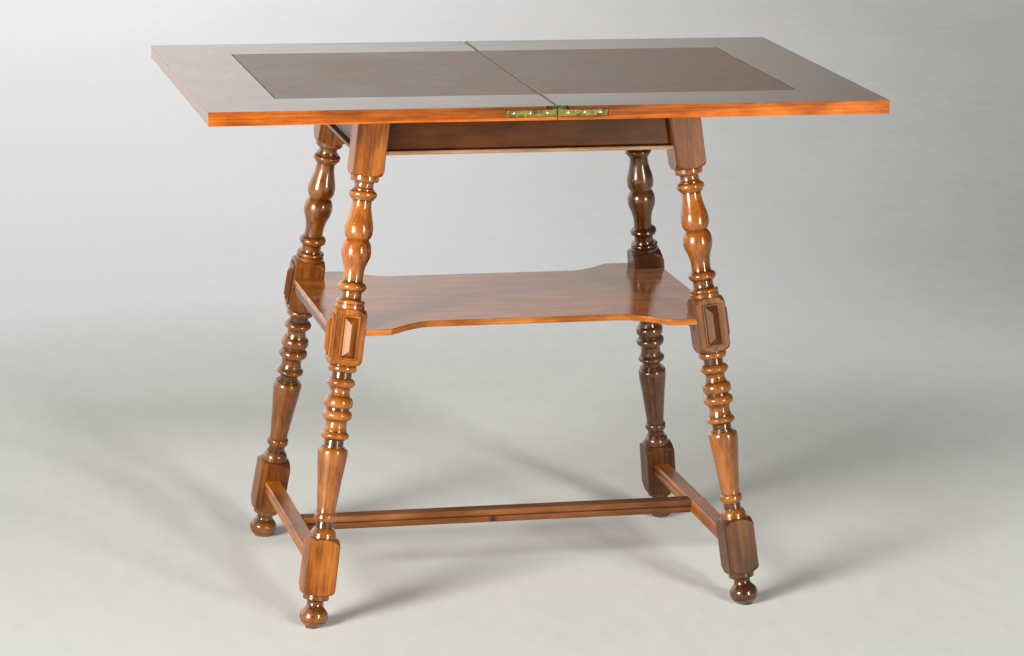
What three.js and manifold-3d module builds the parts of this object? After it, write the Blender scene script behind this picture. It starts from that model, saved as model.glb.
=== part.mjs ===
// A fold over card table: a square-cornered top in two leaves on four splayed, turned legs.
// Millimetres, +Z up. The origin is on the floor under the middle of the open top, +X runs
// to the right along the long side and +Y to the back.
// It is drawn open. To put it away, the top turns a quarter on the pivot bolt and the
// folding leaf comes over onto the lower leaf on two link hinges.
import * as THREE from 'three';
import { mergeVertices } from 'three/addons/utils/BufferGeometryUtils.js';
import Module from 'manifold-3d';

const wasm = await Module();
wasm.setup();

// The open top
const tableHeight = 740;
const topLength = 944;
const topDepth = 571;
const topThickness = 19;
const endBorderWidth = 104;
const sideBorderWidth = 95;
const leatherThickness = 1.2;

// Clearances: between fitted pieces, in a running fit, and under the turning top
const fitGap = 0.3;
const runningGap = 0.35;
const restGap = 0.3;

// The joint between the leaves and its link hinges
const leafGap = 1;
const boardRound = 1;
const pinInset = 2.5;
const closedGap = 0.4;
const pinRadius = 1.1;
const linkRadius = 2;
const linkThickness = 2.5;
const strapLength = 70;
const strapHeight = 9;
const strapThickness = 2.5;
const lugLength = 14;
const lugSlope = 5;
const plateSetDown = 0.2;
const hingeScrewHeadRadius = 2.3;
const hingeScrewRadius = 1.3;
const hingeScrewLength = 16;
const hingeScrewShares = [0.2, 0.53, 0.86];

// The leg axes: their spacing under the top and on the floor
const legTopSpacingX = 437;
const legTopSpacingY = 240;
const footSpacingX = 632;
const footSpacingY = 438;
const blockSide = 44;
const shoulderRise = 9;
const turnedRadius = 20;
const turnedSides = 12;

// Heights on the frame, and how far each square block reaches past what it carries
const topBlockLength = 100;
const shelfHeight = 414;
const middleBlockAbove = 26;
const middleBlockBelow = 52;
const stretcherHeight = 94;
const lowerBlockAbove = 30;
const lowerBlockBelow = 48.5;

// The rails of the frieze
const railHeight = 70;
const railThickness = 20;
const beadHeight = 6;
const beadProud = 9;

// The shelf and the bearers under its ends
const shelfThickness = 9;
const shelfDepth = 368;
const shelfWaistDepth = 286;
const shelfShoulderHalf = 203;
const shelfWaistHalf = 133;
const shelfOgeeStart = [12, 5];
const shelfOgeeReach = 33;
const bearerHeight = 11.5;
const bearerSetBack = 1;

// The stretchers
const stretcherWidth = 24;
const stretcherThickness = 19.5;
const stretcherGroove = 2.4;
const stretcherBevel = 1.6;

// The raised bosses on the middle blocks
const bossWidth = 25;
const bossLength = 61;
const bossRim = 3.6;
const bossRimHeight = 2.6;
const bossFieldHeight = 1.4;
const bossRidgeHeight = 7.5;

// The pivot under the lower leaf
const pivotRailWidth = 46;
const pivotRailThickness = 22;
const pivotBoltRadius = 4;
const pivotBoltSpare = 2;
const pivotHeadRadius = 8;
const pivotHeadThickness = 3;
const pivotPlateLength = 74;
const pivotPlateWidth = 34;
const pivotPlateThickness = 3;
const plateScrewHeadRadius = 3;
const plateScrewRadius = 1.6;
const plateScrewLength = 12;
const plateScrewShare = 0.38;
const washerRadius = 8;
const washerThickness = 1.6;
const nutRadius = 7.4;
const nutThickness = 6.5;
const stopPegRadius = 8;
const stopPegLength = 26;
const stopPegSeat = 9;

// Cuts run this far past the face they break
const overrun = 5;

// Sides of the small round pieces
const roundSides = 16;
const smallSides = 8;
const nutSides = 6;
const curveSides = 6;

// Worked out from the sizes above
const frameTop = tableHeight - topThickness - restGap;
const underside = tableHeight - topThickness;
const splayX = (footSpacingX - legTopSpacingX) / 2;
const splayY = (footSpacingY - legTopSpacingY) / 2;
const legLength = Math.hypot(splayX, splayY, frameTop);
const linkLength = 2 * pinInset + leafGap;
const pinDepth = (linkLength - closedGap) / 2;
// The leather turns over the board's rounded edge, so the leaf's own edge is rounder
const jointRound = boardRound + leatherThickness;

// Where the leg axis stands at a height above the floor, and how far along the leg that is
const axisX = (height) => footSpacingX / 2 - splayX * height / frameTop;
const axisY = (height) => footSpacingY / 2 - splayY * height / frameTop;
const alongLeg = (height) => height * legLength / frameTop;

// Finishes, as the photograph shows them
function finish(color, roughness, metalness = 0) {
  return () => new THREE.MeshStandardMaterial({ color, roughness, metalness });
}
const legWood = finish(0x9c5a2a, 0.28);
const railWood = finish(0x5f3820, 0.35);
const edgeWood = finish(0xb5652c, 0.3);
const boardWood = finish(0x6d4a36, 0.28);
const shelfWood = finish(0x8a6a52, 0.3);
const leather = finish(0x5a3f33, 0.5);
const brass = finish(0x9a8344, 0.4, 1);
const steel = finish(0x6b6a68, 0.5, 1);

// Turns a closed geometry into a solid: shared vertices are merged and empty faces dropped
function solid(geometry) {
  const bare = geometry.clone();
  bare.deleteAttribute('normal');
  bare.deleteAttribute('uv');
  const merged = mergeVertices(bare);
  const from = merged.index.array;
  const kept = [];
  for (let i = 0; i < from.length; i += 3) {
    const [a, b, c] = [from[i], from[i + 1], from[i + 2]];
    if (a !== b && b !== c && c !== a) kept.push(a, b, c);
  }
  const mesh = new wasm.Mesh({
    numProp: 3,
    vertProperties: new Float32Array(merged.attributes.position.array),
    triVerts: new Uint32Array(kept),
  });
  return new wasm.Manifold(mesh);
}

function geometryOf(body) {
  const mesh = body.getMesh();
  const geometry = new THREE.BufferGeometry();
  geometry.setAttribute('position', new THREE.BufferAttribute(mesh.vertProperties, 3));
  geometry.setIndex(new THREE.BufferAttribute(mesh.triVerts, 1));
  geometry.computeVertexNormals();
  return geometry;
}

function cutAll(body, cuts) {
  return cuts.reduce((left, cut) => left.subtract(cut), body);
}

// A box between two corners
function box(x0, x1, y0, y1, z0, z1) {
  const geometry = new THREE.BoxGeometry(Math.abs(x1 - x0), Math.abs(y1 - y0), Math.abs(z1 - z0));
  geometry.translate((x0 + x1) / 2, (y0 + y1) / 2, (z0 + z1) / 2);
  return geometry;
}

// A profile of [radius, height] pairs turned round the Z axis
function turned(profile, sides) {
  const points = profile.map(([radius, height]) => new THREE.Vector2(radius, height));
  return new THREE.LatheGeometry(points, sides).rotateX(Math.PI / 2);
}

// A plain cylinder from one height to another
function cylinder(radius, low, high, sides) {
  return turned([[0, low], [radius, low], [radius, high], [0, high]], sides);
}

function outline(points) {
  return new THREE.Shape(points.map(([u, v]) => new THREE.Vector2(u, v)));
}

// An outline in plan, raised from one height to another
function raised(shape, low, high) {
  const geometry = new THREE.ExtrudeGeometry(
    shape, { depth: high - low, bevelEnabled: false, curveSegments: curveSides });
  return geometry.translate(0, 0, low);
}

// An outline in (x, z) carried along Y, from the front to the back
function carriedBack(shape, front, back) {
  const geometry = new THREE.ExtrudeGeometry(
    shape, { depth: back - front, bevelEnabled: false, curveSegments: curveSides });
  return geometry.rotateX(Math.PI / 2).translate(0, back, 0);
}

// An outline in (y, z) carried along X, from the left to the right
function carriedRight(shape, left, right) {
  const geometry = new THREE.ExtrudeGeometry(shape, { depth: right - left, bevelEnabled: false });
  return geometry.rotateX(Math.PI / 2).rotateZ(Math.PI / 2).translate(left, 0, 0);
}

const table = new THREE.Group();

function place(name, geometry, material, parent = table) {
  const mesh = new THREE.Mesh(geometry, material());
  mesh.name = name;
  parent.add(mesh);
  return mesh;
}

const corners = [
  { name: 'front_left', x: -1, y: -1 },
  { name: 'front_right', x: 1, y: -1 },
  { name: 'back_left', x: -1, y: 1 },
  { name: 'back_right', x: 1, y: 1 },
];

// The legs. Each is turned from one square length of wood that keeps three square blocks.
// The turned runs between the blocks are [share of the run, share of the turned radius].
const footShares = [
  [0, 0.53], [0.11, 0.83], [0.24, 0.99], [0.4, 0.98], [0.55, 0.76],
  [0.66, 0.59], [0.8, 0.6], [0.86, 0.91], [1, 0.91],
];
const lowerSpindleShares = [
  [0, 0.93], [0.038, 0.88], [0.057, 0.61], [0.092, 0.6], [0.107, 0.77], [0.138, 0.77],
  [0.157, 0.67], [0.49, 1.05], [0.522, 0.9], [0.533, 0.67], [0.568, 0.67], [0.581, 0.95],
  [0.595, 1], [0.614, 0.83], [0.65, 0.74], [0.681, 0.85], [0.696, 1.03], [0.723, 1.03],
  [0.744, 0.81], [0.761, 0.99], [0.797, 1], [0.824, 0.75], [0.847, 0.69], [0.87, 0.72],
  [0.883, 0.97], [0.912, 0.97], [0.926, 0.69], [0.957, 0.69], [0.964, 0.98], [1, 0.98],
];
const upperSpindleShares = [
  [0, 1.01], [0.058, 1], [0.075, 0.73], [0.127, 0.73], [0.147, 0.97], [0.185, 0.97],
  [0.208, 0.68], [0.282, 0.7], [0.338, 0.82], [0.387, 1], [0.432, 1.05], [0.481, 1],
  [0.522, 0.83], [0.559, 0.96], [0.603, 1.005], [0.653, 0.94], [0.719, 0.78], [0.814, 0.675],
  [0.836, 0.85], [0.855, 0.995], [0.877, 0.995], [0.896, 0.83], [0.908, 0.68], [0.955, 0.68],
  [0.963, 1], [1, 1],
];
// How a block's shoulder swells from the turned collar to the square's corner
const shoulderShares = [[0, 0], [0.12, 0.3], [0.4, 0.66], [1, 1]];

const lowerBlock = [stretcherHeight - lowerBlockBelow, stretcherHeight + lowerBlockAbove].map(alongLeg);
const middleBlock = [shelfHeight - middleBlockBelow, shelfHeight + middleBlockAbove].map(alongLeg);
const topBlock = [alongLeg(frameTop - topBlockLength), alongLeg(frameTop) + blockSide];

function run(shares, low, high) {
  return shares.map(([along, across]) => [across * turnedRadius, low + along * (high - low)]);
}

function spindle() {
  const profile = [
    [0, -overrun],
    [footShares[0][1] * turnedRadius, -overrun],
    ...run(footShares, 0, lowerBlock[0]),
    ...run(lowerSpindleShares, lowerBlock[1], middleBlock[0]),
    ...run(upperSpindleShares, middleBlock[1], topBlock[0]),
    [turnedRadius, topBlock[1] - overrun],
    [0, topBlock[1] - overrun],
  ];
  return solid(turned(profile, turnedSides));
}

// A square block with its corners turned away at both ends
function squareBlock([low, high]) {
  const half = blockSide / 2;
  const corner = Math.hypot(half, half) + fitGap;
  const swell = shoulderShares.map(([rise, out]) => [
    turnedRadius + out * (corner - turnedRadius), rise * shoulderRise]);
  const profile = [
    [0, low],
    ...swell.map(([radius, rise]) => [radius, low + rise]),
    ...swell.reverse().map(([radius, rise]) => [radius, high - rise]),
    [0, high],
  ];
  const swollen = turned(profile, turnedSides).rotateZ(Math.PI / turnedSides);
  return solid(swollen).intersect(solid(box(-half, half, -half, half, low, high)));
}

// A leg's own frame stands at the foot's middle on the floor, with Z up along the leg
function legFrame(corner) {
  const group = new THREE.Group();
  const up = new THREE.Vector3(-corner.x * splayX, -corner.y * splayY, frameTop).normalize();
  group.quaternion.setFromUnitVectors(new THREE.Vector3(0, 0, 1), up);
  group.position.set(corner.x * footSpacingX / 2, corner.y * footSpacingY / 2, 0);
  group.updateMatrixWorld(true);
  return group;
}

// A piece between two heights, cut away where the legs' square blocks pass, with a clearance
function clearOfLegs(geometry, low, high) {
  const half = blockSide / 2 + fitGap;
  const rooms = corners.map((corner) => {
    const prism = box(-half, half, -half, half, alongLeg(low) - blockSide, alongLeg(high) + blockSide);
    return solid(prism.applyMatrix4(legFrame(corner).matrixWorld));
  });
  return cutAll(solid(geometry), rooms);
}

function fitToLegs(geometry, low, high) {
  return geometryOf(clearOfLegs(geometry, low, high));
}

const legBody = [lowerBlock, middleBlock, topBlock].map(squareBlock).reduce(
  (body, piece) => body.add(piece), spindle());

// The rectangle stack of a boss: [width, length, height] from its back to its ridge
function bossGeometry() {
  const inner = [bossWidth - 2 * bossRim, bossLength - 2 * bossRim];
  const steps = [
    [bossWidth, bossLength, 0],
    [bossWidth, bossLength, bossRimHeight],
    [bossWidth - bossRim, bossLength - bossRim, bossRimHeight],
    [inner[0], inner[1], bossFieldHeight],
    [0, inner[1] - inner[0], bossRidgeHeight],
  ];
  const vertices = [];
  for (const [width, length, height] of steps) {
    for (const [sx, sy] of [[-1, -1], [1, -1], [1, 1], [-1, 1]]) {
      vertices.push(sx * width / 2, sy * length / 2, height);
    }
  }
  const faces = [0, 2, 1, 0, 3, 2];
  for (let step = 0; step + 1 < steps.length; step += 1) {
    for (let side = 0; side < 4; side += 1) {
      const a = 4 * step + side;
      const b = 4 * step + (side + 1) % 4;
      faces.push(a, b, b + 4, a, b + 4, a + 4);
    }
  }
  const geometry = new THREE.BufferGeometry();
  geometry.setAttribute('position', new THREE.Float32BufferAttribute(vertices, 3));
  geometry.setIndex(faces);
  return geometryOf(solid(geometry));
}

for (const corner of corners) {
  const group = legFrame(corner);
  table.add(group);
  const toLeg = group.matrixWorld.clone().invert();
  const reach = topLength;
  const floor = solid(box(-reach, reach, -reach, reach, -reach, 0).applyMatrix4(toLeg));
  const ceiling = solid(box(-reach, reach, -reach, reach, frameTop, 2 * frameTop).applyMatrix4(toLeg));
  place(`leg_${corner.name}`, geometryOf(legBody.subtract(floor).subtract(ceiling)), legWood, group);
  const middle = (middleBlock[0] + middleBlock[1]) / 2;
  const stand = blockSide / 2 + fitGap;
  const face = place(`boss_${corner.name}_face`, bossGeometry(), legWood, group);
  face.position.set(0, corner.y * stand, middle);
  face.rotation.set(-corner.y * Math.PI / 2, 0, 0);
  const side = place(`boss_${corner.name}_end`, bossGeometry(), legWood, group);
  side.position.set(corner.x * stand, 0, middle);
  side.rotation.set(Math.PI / 2, corner.x * Math.PI / 2, 0);
}

// The frieze rails lean with the legs. This outline is [out from the middle line, height].
const railBottom = frameTop - railHeight;
const halfRail = railThickness / 2;

function railOutline(axisAt, side) {
  const beadTop = railBottom + beadHeight;
  const points = [
    [axisAt(frameTop) - halfRail, frameTop],
    [axisAt(railBottom) - halfRail, railBottom],
    [axisAt(railBottom) + halfRail + beadProud, railBottom],
    [axisAt(beadTop) + halfRail + beadProud, beadTop],
    [axisAt(beadTop) + halfRail, beadTop],
    [axisAt(frameTop) + halfRail, frameTop],
  ];
  return outline(points.map(([out, height]) => [side * out, height]));
}

const railMiddle = (frameTop + railBottom) / 2;
for (const [name, side] of [['front', -1], ['back', 1]]) {
  const reach = axisX(railMiddle);
  const board = carriedRight(railOutline(axisY, side), -reach, reach);
  place(`rail_${name}`, fitToLegs(board, railBottom, frameTop), railWood);
}
for (const [name, side] of [['left', -1], ['right', 1]]) {
  const reach = axisY(railMiddle);
  const board = carriedBack(railOutline(axisX, side), -reach, reach);
  place(`rail_${name}`, fitToLegs(board, railBottom, frameTop), railWood);
}

// The shelf is cut round the middle blocks and drawn in to a waist at the front and back
const shelfEnd = axisX(shelfHeight) + blockSide / 2;
const shelfBottom = shelfHeight - shelfThickness;

// Each corner of the outline steps in round a leg, a little way inside its block
function shelfShape() {
  const shape = new THREE.Shape();
  const deep = shelfDepth / 2;
  const waist = shelfWaistDepth / 2;
  const startX = shelfShoulderHalf - shelfOgeeStart[0];
  const startY = deep - shelfOgeeStart[1];
  const reachX = shelfWaistHalf + shelfOgeeReach;
  const inX = axisX(shelfHeight) - blockSide / 2 + overrun;
  const inY = axisY(shelfHeight) - blockSide / 2 + overrun;
  shape.moveTo(-inX, -deep);
  shape.lineTo(-shelfShoulderHalf, -deep);
  shape.bezierCurveTo(-startX, -startY, -reachX, -waist, -shelfWaistHalf, -waist);
  shape.lineTo(shelfWaistHalf, -waist);
  shape.bezierCurveTo(reachX, -waist, startX, -startY, shelfShoulderHalf, -deep);
  shape.lineTo(inX, -deep);
  shape.lineTo(inX, -inY);
  shape.lineTo(shelfEnd, -inY);
  shape.lineTo(shelfEnd, inY);
  shape.lineTo(inX, inY);
  shape.lineTo(inX, deep);
  shape.lineTo(shelfShoulderHalf, deep);
  shape.bezierCurveTo(startX, startY, reachX, waist, shelfWaistHalf, waist);
  shape.lineTo(-shelfWaistHalf, waist);
  shape.bezierCurveTo(-reachX, waist, -startX, startY, -shelfShoulderHalf, deep);
  shape.lineTo(-inX, deep);
  shape.lineTo(-inX, inY);
  shape.lineTo(-shelfEnd, inY);
  shape.lineTo(-shelfEnd, -inY);
  shape.lineTo(-inX, -inY);
  shape.closePath();
  return shape;
}

const shelfBoard = raised(shelfShape(), shelfBottom, shelfHeight);
place('shelf', fitToLegs(shelfBoard, shelfBottom, shelfHeight), shelfWood);

const bearerTop = shelfBottom - fitGap;
const bearerBottom = bearerTop - bearerHeight;
for (const [name, side] of [['left', -1], ['right', 1]]) {
  const inner = side * (axisX(shelfHeight) - blockSide / 2 + bearerSetBack);
  const outer = side * (shelfEnd - bearerSetBack);
  const reach = axisY(bearerTop);
  const bar = box(inner, outer, -reach, reach, bearerBottom, bearerTop);
  place(`shelf_bearer_${name}`, fitToLegs(bar, bearerBottom, bearerTop), legWood);
}

// The stretchers: a groove between two reeds on both faces, and bevelled corners
const stretcherBottom = stretcherHeight - stretcherThickness;
const stretcherMiddle = (stretcherHeight + stretcherBottom) / 2;

function stretcherOutline(centre) {
  const half = stretcherWidth / 2;
  const right = [
    [half - stretcherBevel, stretcherBottom],
    [half, stretcherBottom + stretcherBevel],
    [half, stretcherMiddle - stretcherGroove],
    [half - stretcherGroove, stretcherMiddle],
    [half, stretcherMiddle + stretcherGroove],
    [half, stretcherHeight - stretcherBevel],
    [half - stretcherBevel, stretcherHeight],
  ];
  const left = right.map(([across, height]) => [-across, height]).reverse();
  return outline([...right, ...left].map(([across, height]) => [centre + across, height]));
}

const stretcherAxis = axisX(stretcherMiddle);
for (const [name, side] of [['left', -1], ['right', 1]]) {
  const reach = axisY(stretcherMiddle);
  const bar = carriedBack(stretcherOutline(side * stretcherAxis), -reach, reach);
  place(`stretcher_${name}`, fitToLegs(bar, stretcherBottom, stretcherHeight), legWood);
}
const longReach = stretcherAxis - stretcherWidth / 2 - fitGap;
place('stretcher_long', carriedRight(stretcherOutline(0), -longReach, longReach), legWood);

// The leaves. The lower leaf lies to the left of the joint and the folding leaf to the right.
const jointFace = leafGap / 2;
const outerFace = topLength / 2;
const frontFace = topDepth / 2;
const fieldOuter = outerFace - endBorderWidth;
const fieldFront = frontFace - sideBorderWidth;

// A leaf's section across the joint, with its top edge rounded so that the leaves clear
// each other as they fold. It is [out from the joint, height].
function leafSection(side, outer, low, high, round) {
  const shape = new THREE.Shape();
  shape.moveTo(side * outer, low);
  shape.lineTo(side * jointFace, low);
  shape.lineTo(side * jointFace, high - round);
  const centre = side * (jointFace + round);
  const start = side > 0 ? Math.PI : 0;
  shape.absarc(centre, high - round, round, start, Math.PI / 2, side > 0);
  shape.lineTo(side * outer, high);
  shape.closePath();
  return shape;
}

// The leather lies in a bed and turns over the rounded edge at the joint
function leatherSection(side, outer) {
  const shape = new THREE.Shape();
  const centre = side * (jointFace + jointRound);
  const low = tableHeight - jointRound;
  const start = side > 0 ? Math.PI : 0;
  shape.moveTo(side * outer, tableHeight - leatherThickness);
  shape.lineTo(centre, tableHeight - leatherThickness);
  shape.absarc(centre, low, boardRound, Math.PI / 2, start, side < 0);
  shape.lineTo(side * jointFace, low);
  shape.absarc(centre, low, jointRound, start, Math.PI / 2, side > 0);
  shape.lineTo(side * outer, tableHeight);
  shape.closePath();
  return shape;
}

// The field board under the leather
function fieldSection(side, outer) {
  const bed = tableHeight - leatherThickness - fitGap;
  const inner = boardRound - fitGap;
  const centre = side * (jointFace + jointRound);
  const shape = new THREE.Shape();
  shape.moveTo(side * outer, underside);
  shape.lineTo(side * jointFace, underside);
  shape.lineTo(side * jointFace, tableHeight - jointRound - fitGap);
  shape.lineTo(centre - side * inner, tableHeight - jointRound - fitGap);
  shape.lineTo(centre, bed);
  shape.lineTo(side * outer, bed);
  shape.closePath();
  return shape;
}

// Link hinge places: the strap is let into the edge, its lug rises to the face at the joint
const strapMiddle = tableHeight - topThickness / 2;
const strapLow = strapMiddle - strapHeight / 2;
const strapHigh = strapMiddle + strapHeight / 2;
const pinHeight = tableHeight - pinDepth;
const lugTop = tableHeight - plateSetDown;
const plateBack = frontFace - strapThickness;
const linkFront = plateBack - runningGap;
const linkBack = linkFront - linkThickness;
const screwSeat = hingeScrewHeadRadius + fitGap;
const screwPilot = hingeScrewRadius + fitGap;

// A bar lying along Y at the front (-1) or back (1) edge, between two depths in the edge
function barAcross(radius, x, z, end, from, to, sides) {
  const geometry = cylinder(radius, from, to, sides);
  geometry.rotateX(-Math.PI / 2);
  if (end < 0) geometry.rotateZ(Math.PI);
  return geometry.translate(x, 0, z);
}

function hingeCuts(side, end) {
  const deep = plateBack - fitGap;
  const out = frontFace + overrun;
  const joint = side * (jointFace - overrun);
  const strapEnd = side * (jointFace + strapLength + fitGap);
  const lugEnd = side * (jointFace + lugLength + fitGap);
  const linkEnd = side * (jointFace + pinInset + linkRadius + 2 * fitGap);
  const linkLow = pinHeight - linkRadius - 2 * fitGap;
  const up = tableHeight + overrun;
  const cuts = [
    box(joint, strapEnd, end * deep, end * out, strapLow - fitGap, strapHigh + fitGap),
    box(joint, lugEnd, end * deep, end * out, strapLow - fitGap, up),
    box(joint, linkEnd, end * (linkBack - fitGap), end * out, linkLow, up),
  ];
  for (const share of hingeScrewShares) {
    const x = side * (jointFace + share * strapLength);
    const tip = frontFace - hingeScrewLength - fitGap;
    cuts.push(barAcross(screwPilot, x, strapMiddle, end, tip, frontFace, smallSides));
  }
  return cuts.map(solid);
}

function sideBorder(side, end, cuts) {
  const plan = outline([
    [side * jointFace, end * frontFace],
    [side * outerFace, end * frontFace],
    [side * fieldOuter, end * fieldFront],
    [side * jointFace, end * fieldFront],
  ]);
  const board = solid(raised(plan, underside - overrun, tableHeight + overrun));
  const section = solid(carriedBack(
    leafSection(side, outerFace + overrun, underside, tableHeight, jointRound),
    -frontFace - overrun, frontFace + overrun));
  return geometryOf(cutAll(board.intersect(section), cuts));
}

function endBorder(side) {
  const outer = frontFace - fitGap;
  const inner = fieldFront - fitGap;
  const plan = outline([
    [side * outerFace, -outer],
    [side * outerFace, outer],
    [side * fieldOuter, inner],
    [side * fieldOuter, -inner],
  ]);
  return raised(plan, underside, tableHeight);
}

// The plate of one hinge on one leaf: strap, lug, pin hole and screw holes
function hingePlate(side, end) {
  const shape = outline([
    [side * jointFace, strapLow],
    [side * (jointFace + strapLength), strapLow],
    [side * (jointFace + strapLength), strapHigh],
    [side * (jointFace + lugLength), strapHigh],
    [side * (jointFace + lugLength - lugSlope), lugTop],
    [side * (jointFace + jointRound), lugTop],
    [side * jointFace, lugTop - jointRound],
  ]);
  const [front, back] = end < 0 ? [-frontFace, -plateBack] : [plateBack, frontFace];
  const cuts = hingeScrewShares.map((share) => {
    const x = side * (jointFace + share * strapLength);
    return barAcross(
      screwSeat, x, strapMiddle, end, plateBack - overrun, frontFace + overrun, smallSides);
  });
  cuts.push(barAcross(
    pinRadius + runningGap, side * (jointFace + pinInset), pinHeight, end,
    plateBack - overrun, frontFace + overrun, smallSides));
  return geometryOf(cutAll(solid(carriedBack(shape, front, back)), cuts.map(solid)));
}

// The link carries both pins and lies behind the plates
function hingeLink(end) {
  const shape = new THREE.Shape();
  const reach = linkLength / 2;
  shape.absarc(reach, pinHeight, linkRadius, -Math.PI / 2, Math.PI / 2, false);
  shape.absarc(-reach, pinHeight, linkRadius, Math.PI / 2, 3 * Math.PI / 2, false);
  shape.closePath();
  const [front, back] = end < 0 ? [-linkFront, -linkBack] : [linkBack, linkFront];
  let body = solid(carriedBack(shape, front, back));
  for (const side of [-1, 1]) {
    body = body.add(solid(barAcross(
      pinRadius, side * reach, pinHeight, end, linkBack, frontFace - plateSetDown, smallSides)));
  }
  return geometryOf(body);
}

function woodScrew(headRadius, radius, head, length, sides) {
  const tip = radius / 2;
  return turned([[0, 0], [tip, 0], [radius, radius], [radius, length - head],
    [headRadius, length - head], [headRadius, length], [0, length]], sides);
}

// The pivot stands as far back as the frame lets it, a quarter leaf in from the joint
const backRailFace = axisY(frameTop) - halfRail;
const pivotX = -topLength / 8;
const pivotY = backRailFace - washerRadius - 2 * fitGap;
const pivotRailFront = backRailFace - fitGap - pivotRailWidth;
const headTop = underside + pivotPlateThickness + fitGap + pivotHeadThickness;
const pivotPocket = [
  cylinder(pivotHeadRadius + fitGap, underside - overrun, headTop + fitGap, roundSides)
    .translate(pivotX, pivotY, 0),
  box(pivotX - pivotPlateLength / 2 - fitGap, pivotX + pivotPlateLength / 2 + fitGap,
    pivotY - pivotPlateWidth / 2 - fitGap, pivotY + pivotPlateWidth / 2 + fitGap,
    underside - overrun, underside + pivotPlateThickness + fitGap),
];
const plateScrewPlaces = [-1, 1].map((side) => pivotX + side * plateScrewShare * pivotPlateLength);
for (const x of plateScrewPlaces) {
  const tip = underside + plateScrewLength + fitGap;
  pivotPocket.push(cylinder(plateScrewRadius + fitGap, underside, tip, smallSides).translate(x, pivotY, 0));
}
// The stop peg meets the front edge of the pivot rail at both ends of the quarter turn
const stopReach = pivotY - pivotRailFront + stopPegRadius + fitGap;
const stopX = pivotX - stopReach;
const stopY = pivotY - stopReach;
const stopSeatTop = underside + stopPegSeat;
const stopPocket = cylinder(stopPegRadius + fitGap, underside - overrun, stopSeatTop + fitGap, roundSides)
  .translate(stopX, stopY, 0);

const leaves = [
  { name: 'lower_leaf', side: -1, cuts: [...pivotPocket, stopPocket] },
  { name: 'folding_leaf', side: 1, cuts: [] },
];
const ends = [['front', -1], ['back', 1]];

for (const leaf of leaves) {
  const { name, side } = leaf;
  place(`${name}_end_border`, endBorder(side), edgeWood);
  const fieldEnd = fieldOuter - fitGap;
  const fieldReach = fieldFront - fitGap;
  const underCuts = leaf.cuts.map(solid);
  const field = solid(carriedBack(fieldSection(side, fieldEnd), -fieldReach, fieldReach));
  place(`${name}_field_board`, geometryOf(cutAll(field, underCuts)), boardWood);
  place(`${name}_leather`, carriedBack(leatherSection(side, fieldEnd), -fieldReach, fieldReach), leather);
  for (const [where, end] of ends) {
    const cuts = [...hingeCuts(side, end), ...underCuts];
    place(`${name}_${where}_border`, sideBorder(side, end, cuts), edgeWood);
    place(`${name}_${where}_hinge_plate`, hingePlate(side, end), brass);
    hingeScrewShares.forEach((share, index) => {
      const head = strapThickness - plateSetDown;
      const length = hingeScrewLength - plateSetDown;
      const screw = woodScrew(hingeScrewHeadRadius, hingeScrewRadius, head, length, smallSides);
      screw.rotateX(-Math.PI / 2);
      if (end < 0) screw.rotateZ(Math.PI);
      const mesh = place(`${name}_${where}_hinge_screw_${index + 1}`, screw, brass);
      const x = side * (jointFace + share * strapLength);
      mesh.position.set(x, end * (frontFace - hingeScrewLength), strapMiddle);
    });
  }
}
for (const [where, end] of ends) {
  place(`hinge_link_${where}`, hingeLink(end), brass);
}

// The pivot rail runs between the end rails against the back rail
const pivotRailReach = axisX(frameTop) - halfRail - fitGap;
const pivotRailBottom = frameTop - pivotRailThickness;
const pivotBore = pivotBoltRadius + runningGap;
const pivotHole = cylinder(pivotBore, pivotRailBottom - overrun, frameTop + overrun, roundSides)
  .translate(pivotX, pivotY, 0);
const pivotRailBack = backRailFace - fitGap;
const pivotRail = box(
  -pivotRailReach, pivotRailReach, pivotRailFront, pivotRailBack, pivotRailBottom, frameTop);
const notchedRail = clearOfLegs(pivotRail, pivotRailBottom, frameTop);
place('pivot_rail', geometryOf(notchedRail.subtract(solid(pivotHole))), railWood);

// The pivot bolt hangs from a plate let into the lower leaf and is held by a nut below
const nutTop = pivotRailBottom - runningGap - washerThickness - fitGap;
const boltBottom = nutTop - nutThickness - pivotBoltSpare;
const headBottom = underside + pivotPlateThickness + fitGap;
const bolt = turned([
  [0, boltBottom], [pivotBoltRadius, boltBottom], [pivotBoltRadius, headBottom],
  [pivotHeadRadius, headBottom], [pivotHeadRadius, headTop], [0, headTop],
], roundSides);
place('pivot_bolt', bolt, steel).position.set(pivotX, pivotY, 0);

const boltBore = pivotBoltRadius + fitGap;
const plateCuts = [
  cylinder(boltBore, underside - overrun, headBottom + overrun, roundSides).translate(pivotX, pivotY, 0),
];
for (const x of plateScrewPlaces) {
  const seat = plateScrewHeadRadius + fitGap;
  const hole = cylinder(seat, underside - overrun, headBottom + overrun, smallSides);
  plateCuts.push(hole.translate(x, pivotY, 0));
}
const plateBlank = box(pivotX - pivotPlateLength / 2, pivotX + pivotPlateLength / 2,
  pivotY - pivotPlateWidth / 2, pivotY + pivotPlateWidth / 2, underside, underside + pivotPlateThickness);
place('pivot_plate', geometryOf(cutAll(solid(plateBlank), plateCuts.map(solid))), steel);

plateScrewPlaces.forEach((x, index) => {
  const head = pivotPlateThickness - plateSetDown;
  const length = plateScrewLength - plateSetDown;
  const screw = woodScrew(plateScrewHeadRadius, plateScrewRadius, head, length, smallSides);
  screw.rotateX(Math.PI);
  const mesh = place(`pivot_plate_screw_${index + 1}`, screw, steel);
  mesh.position.set(x, pivotY, underside + plateScrewLength);
});

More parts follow.
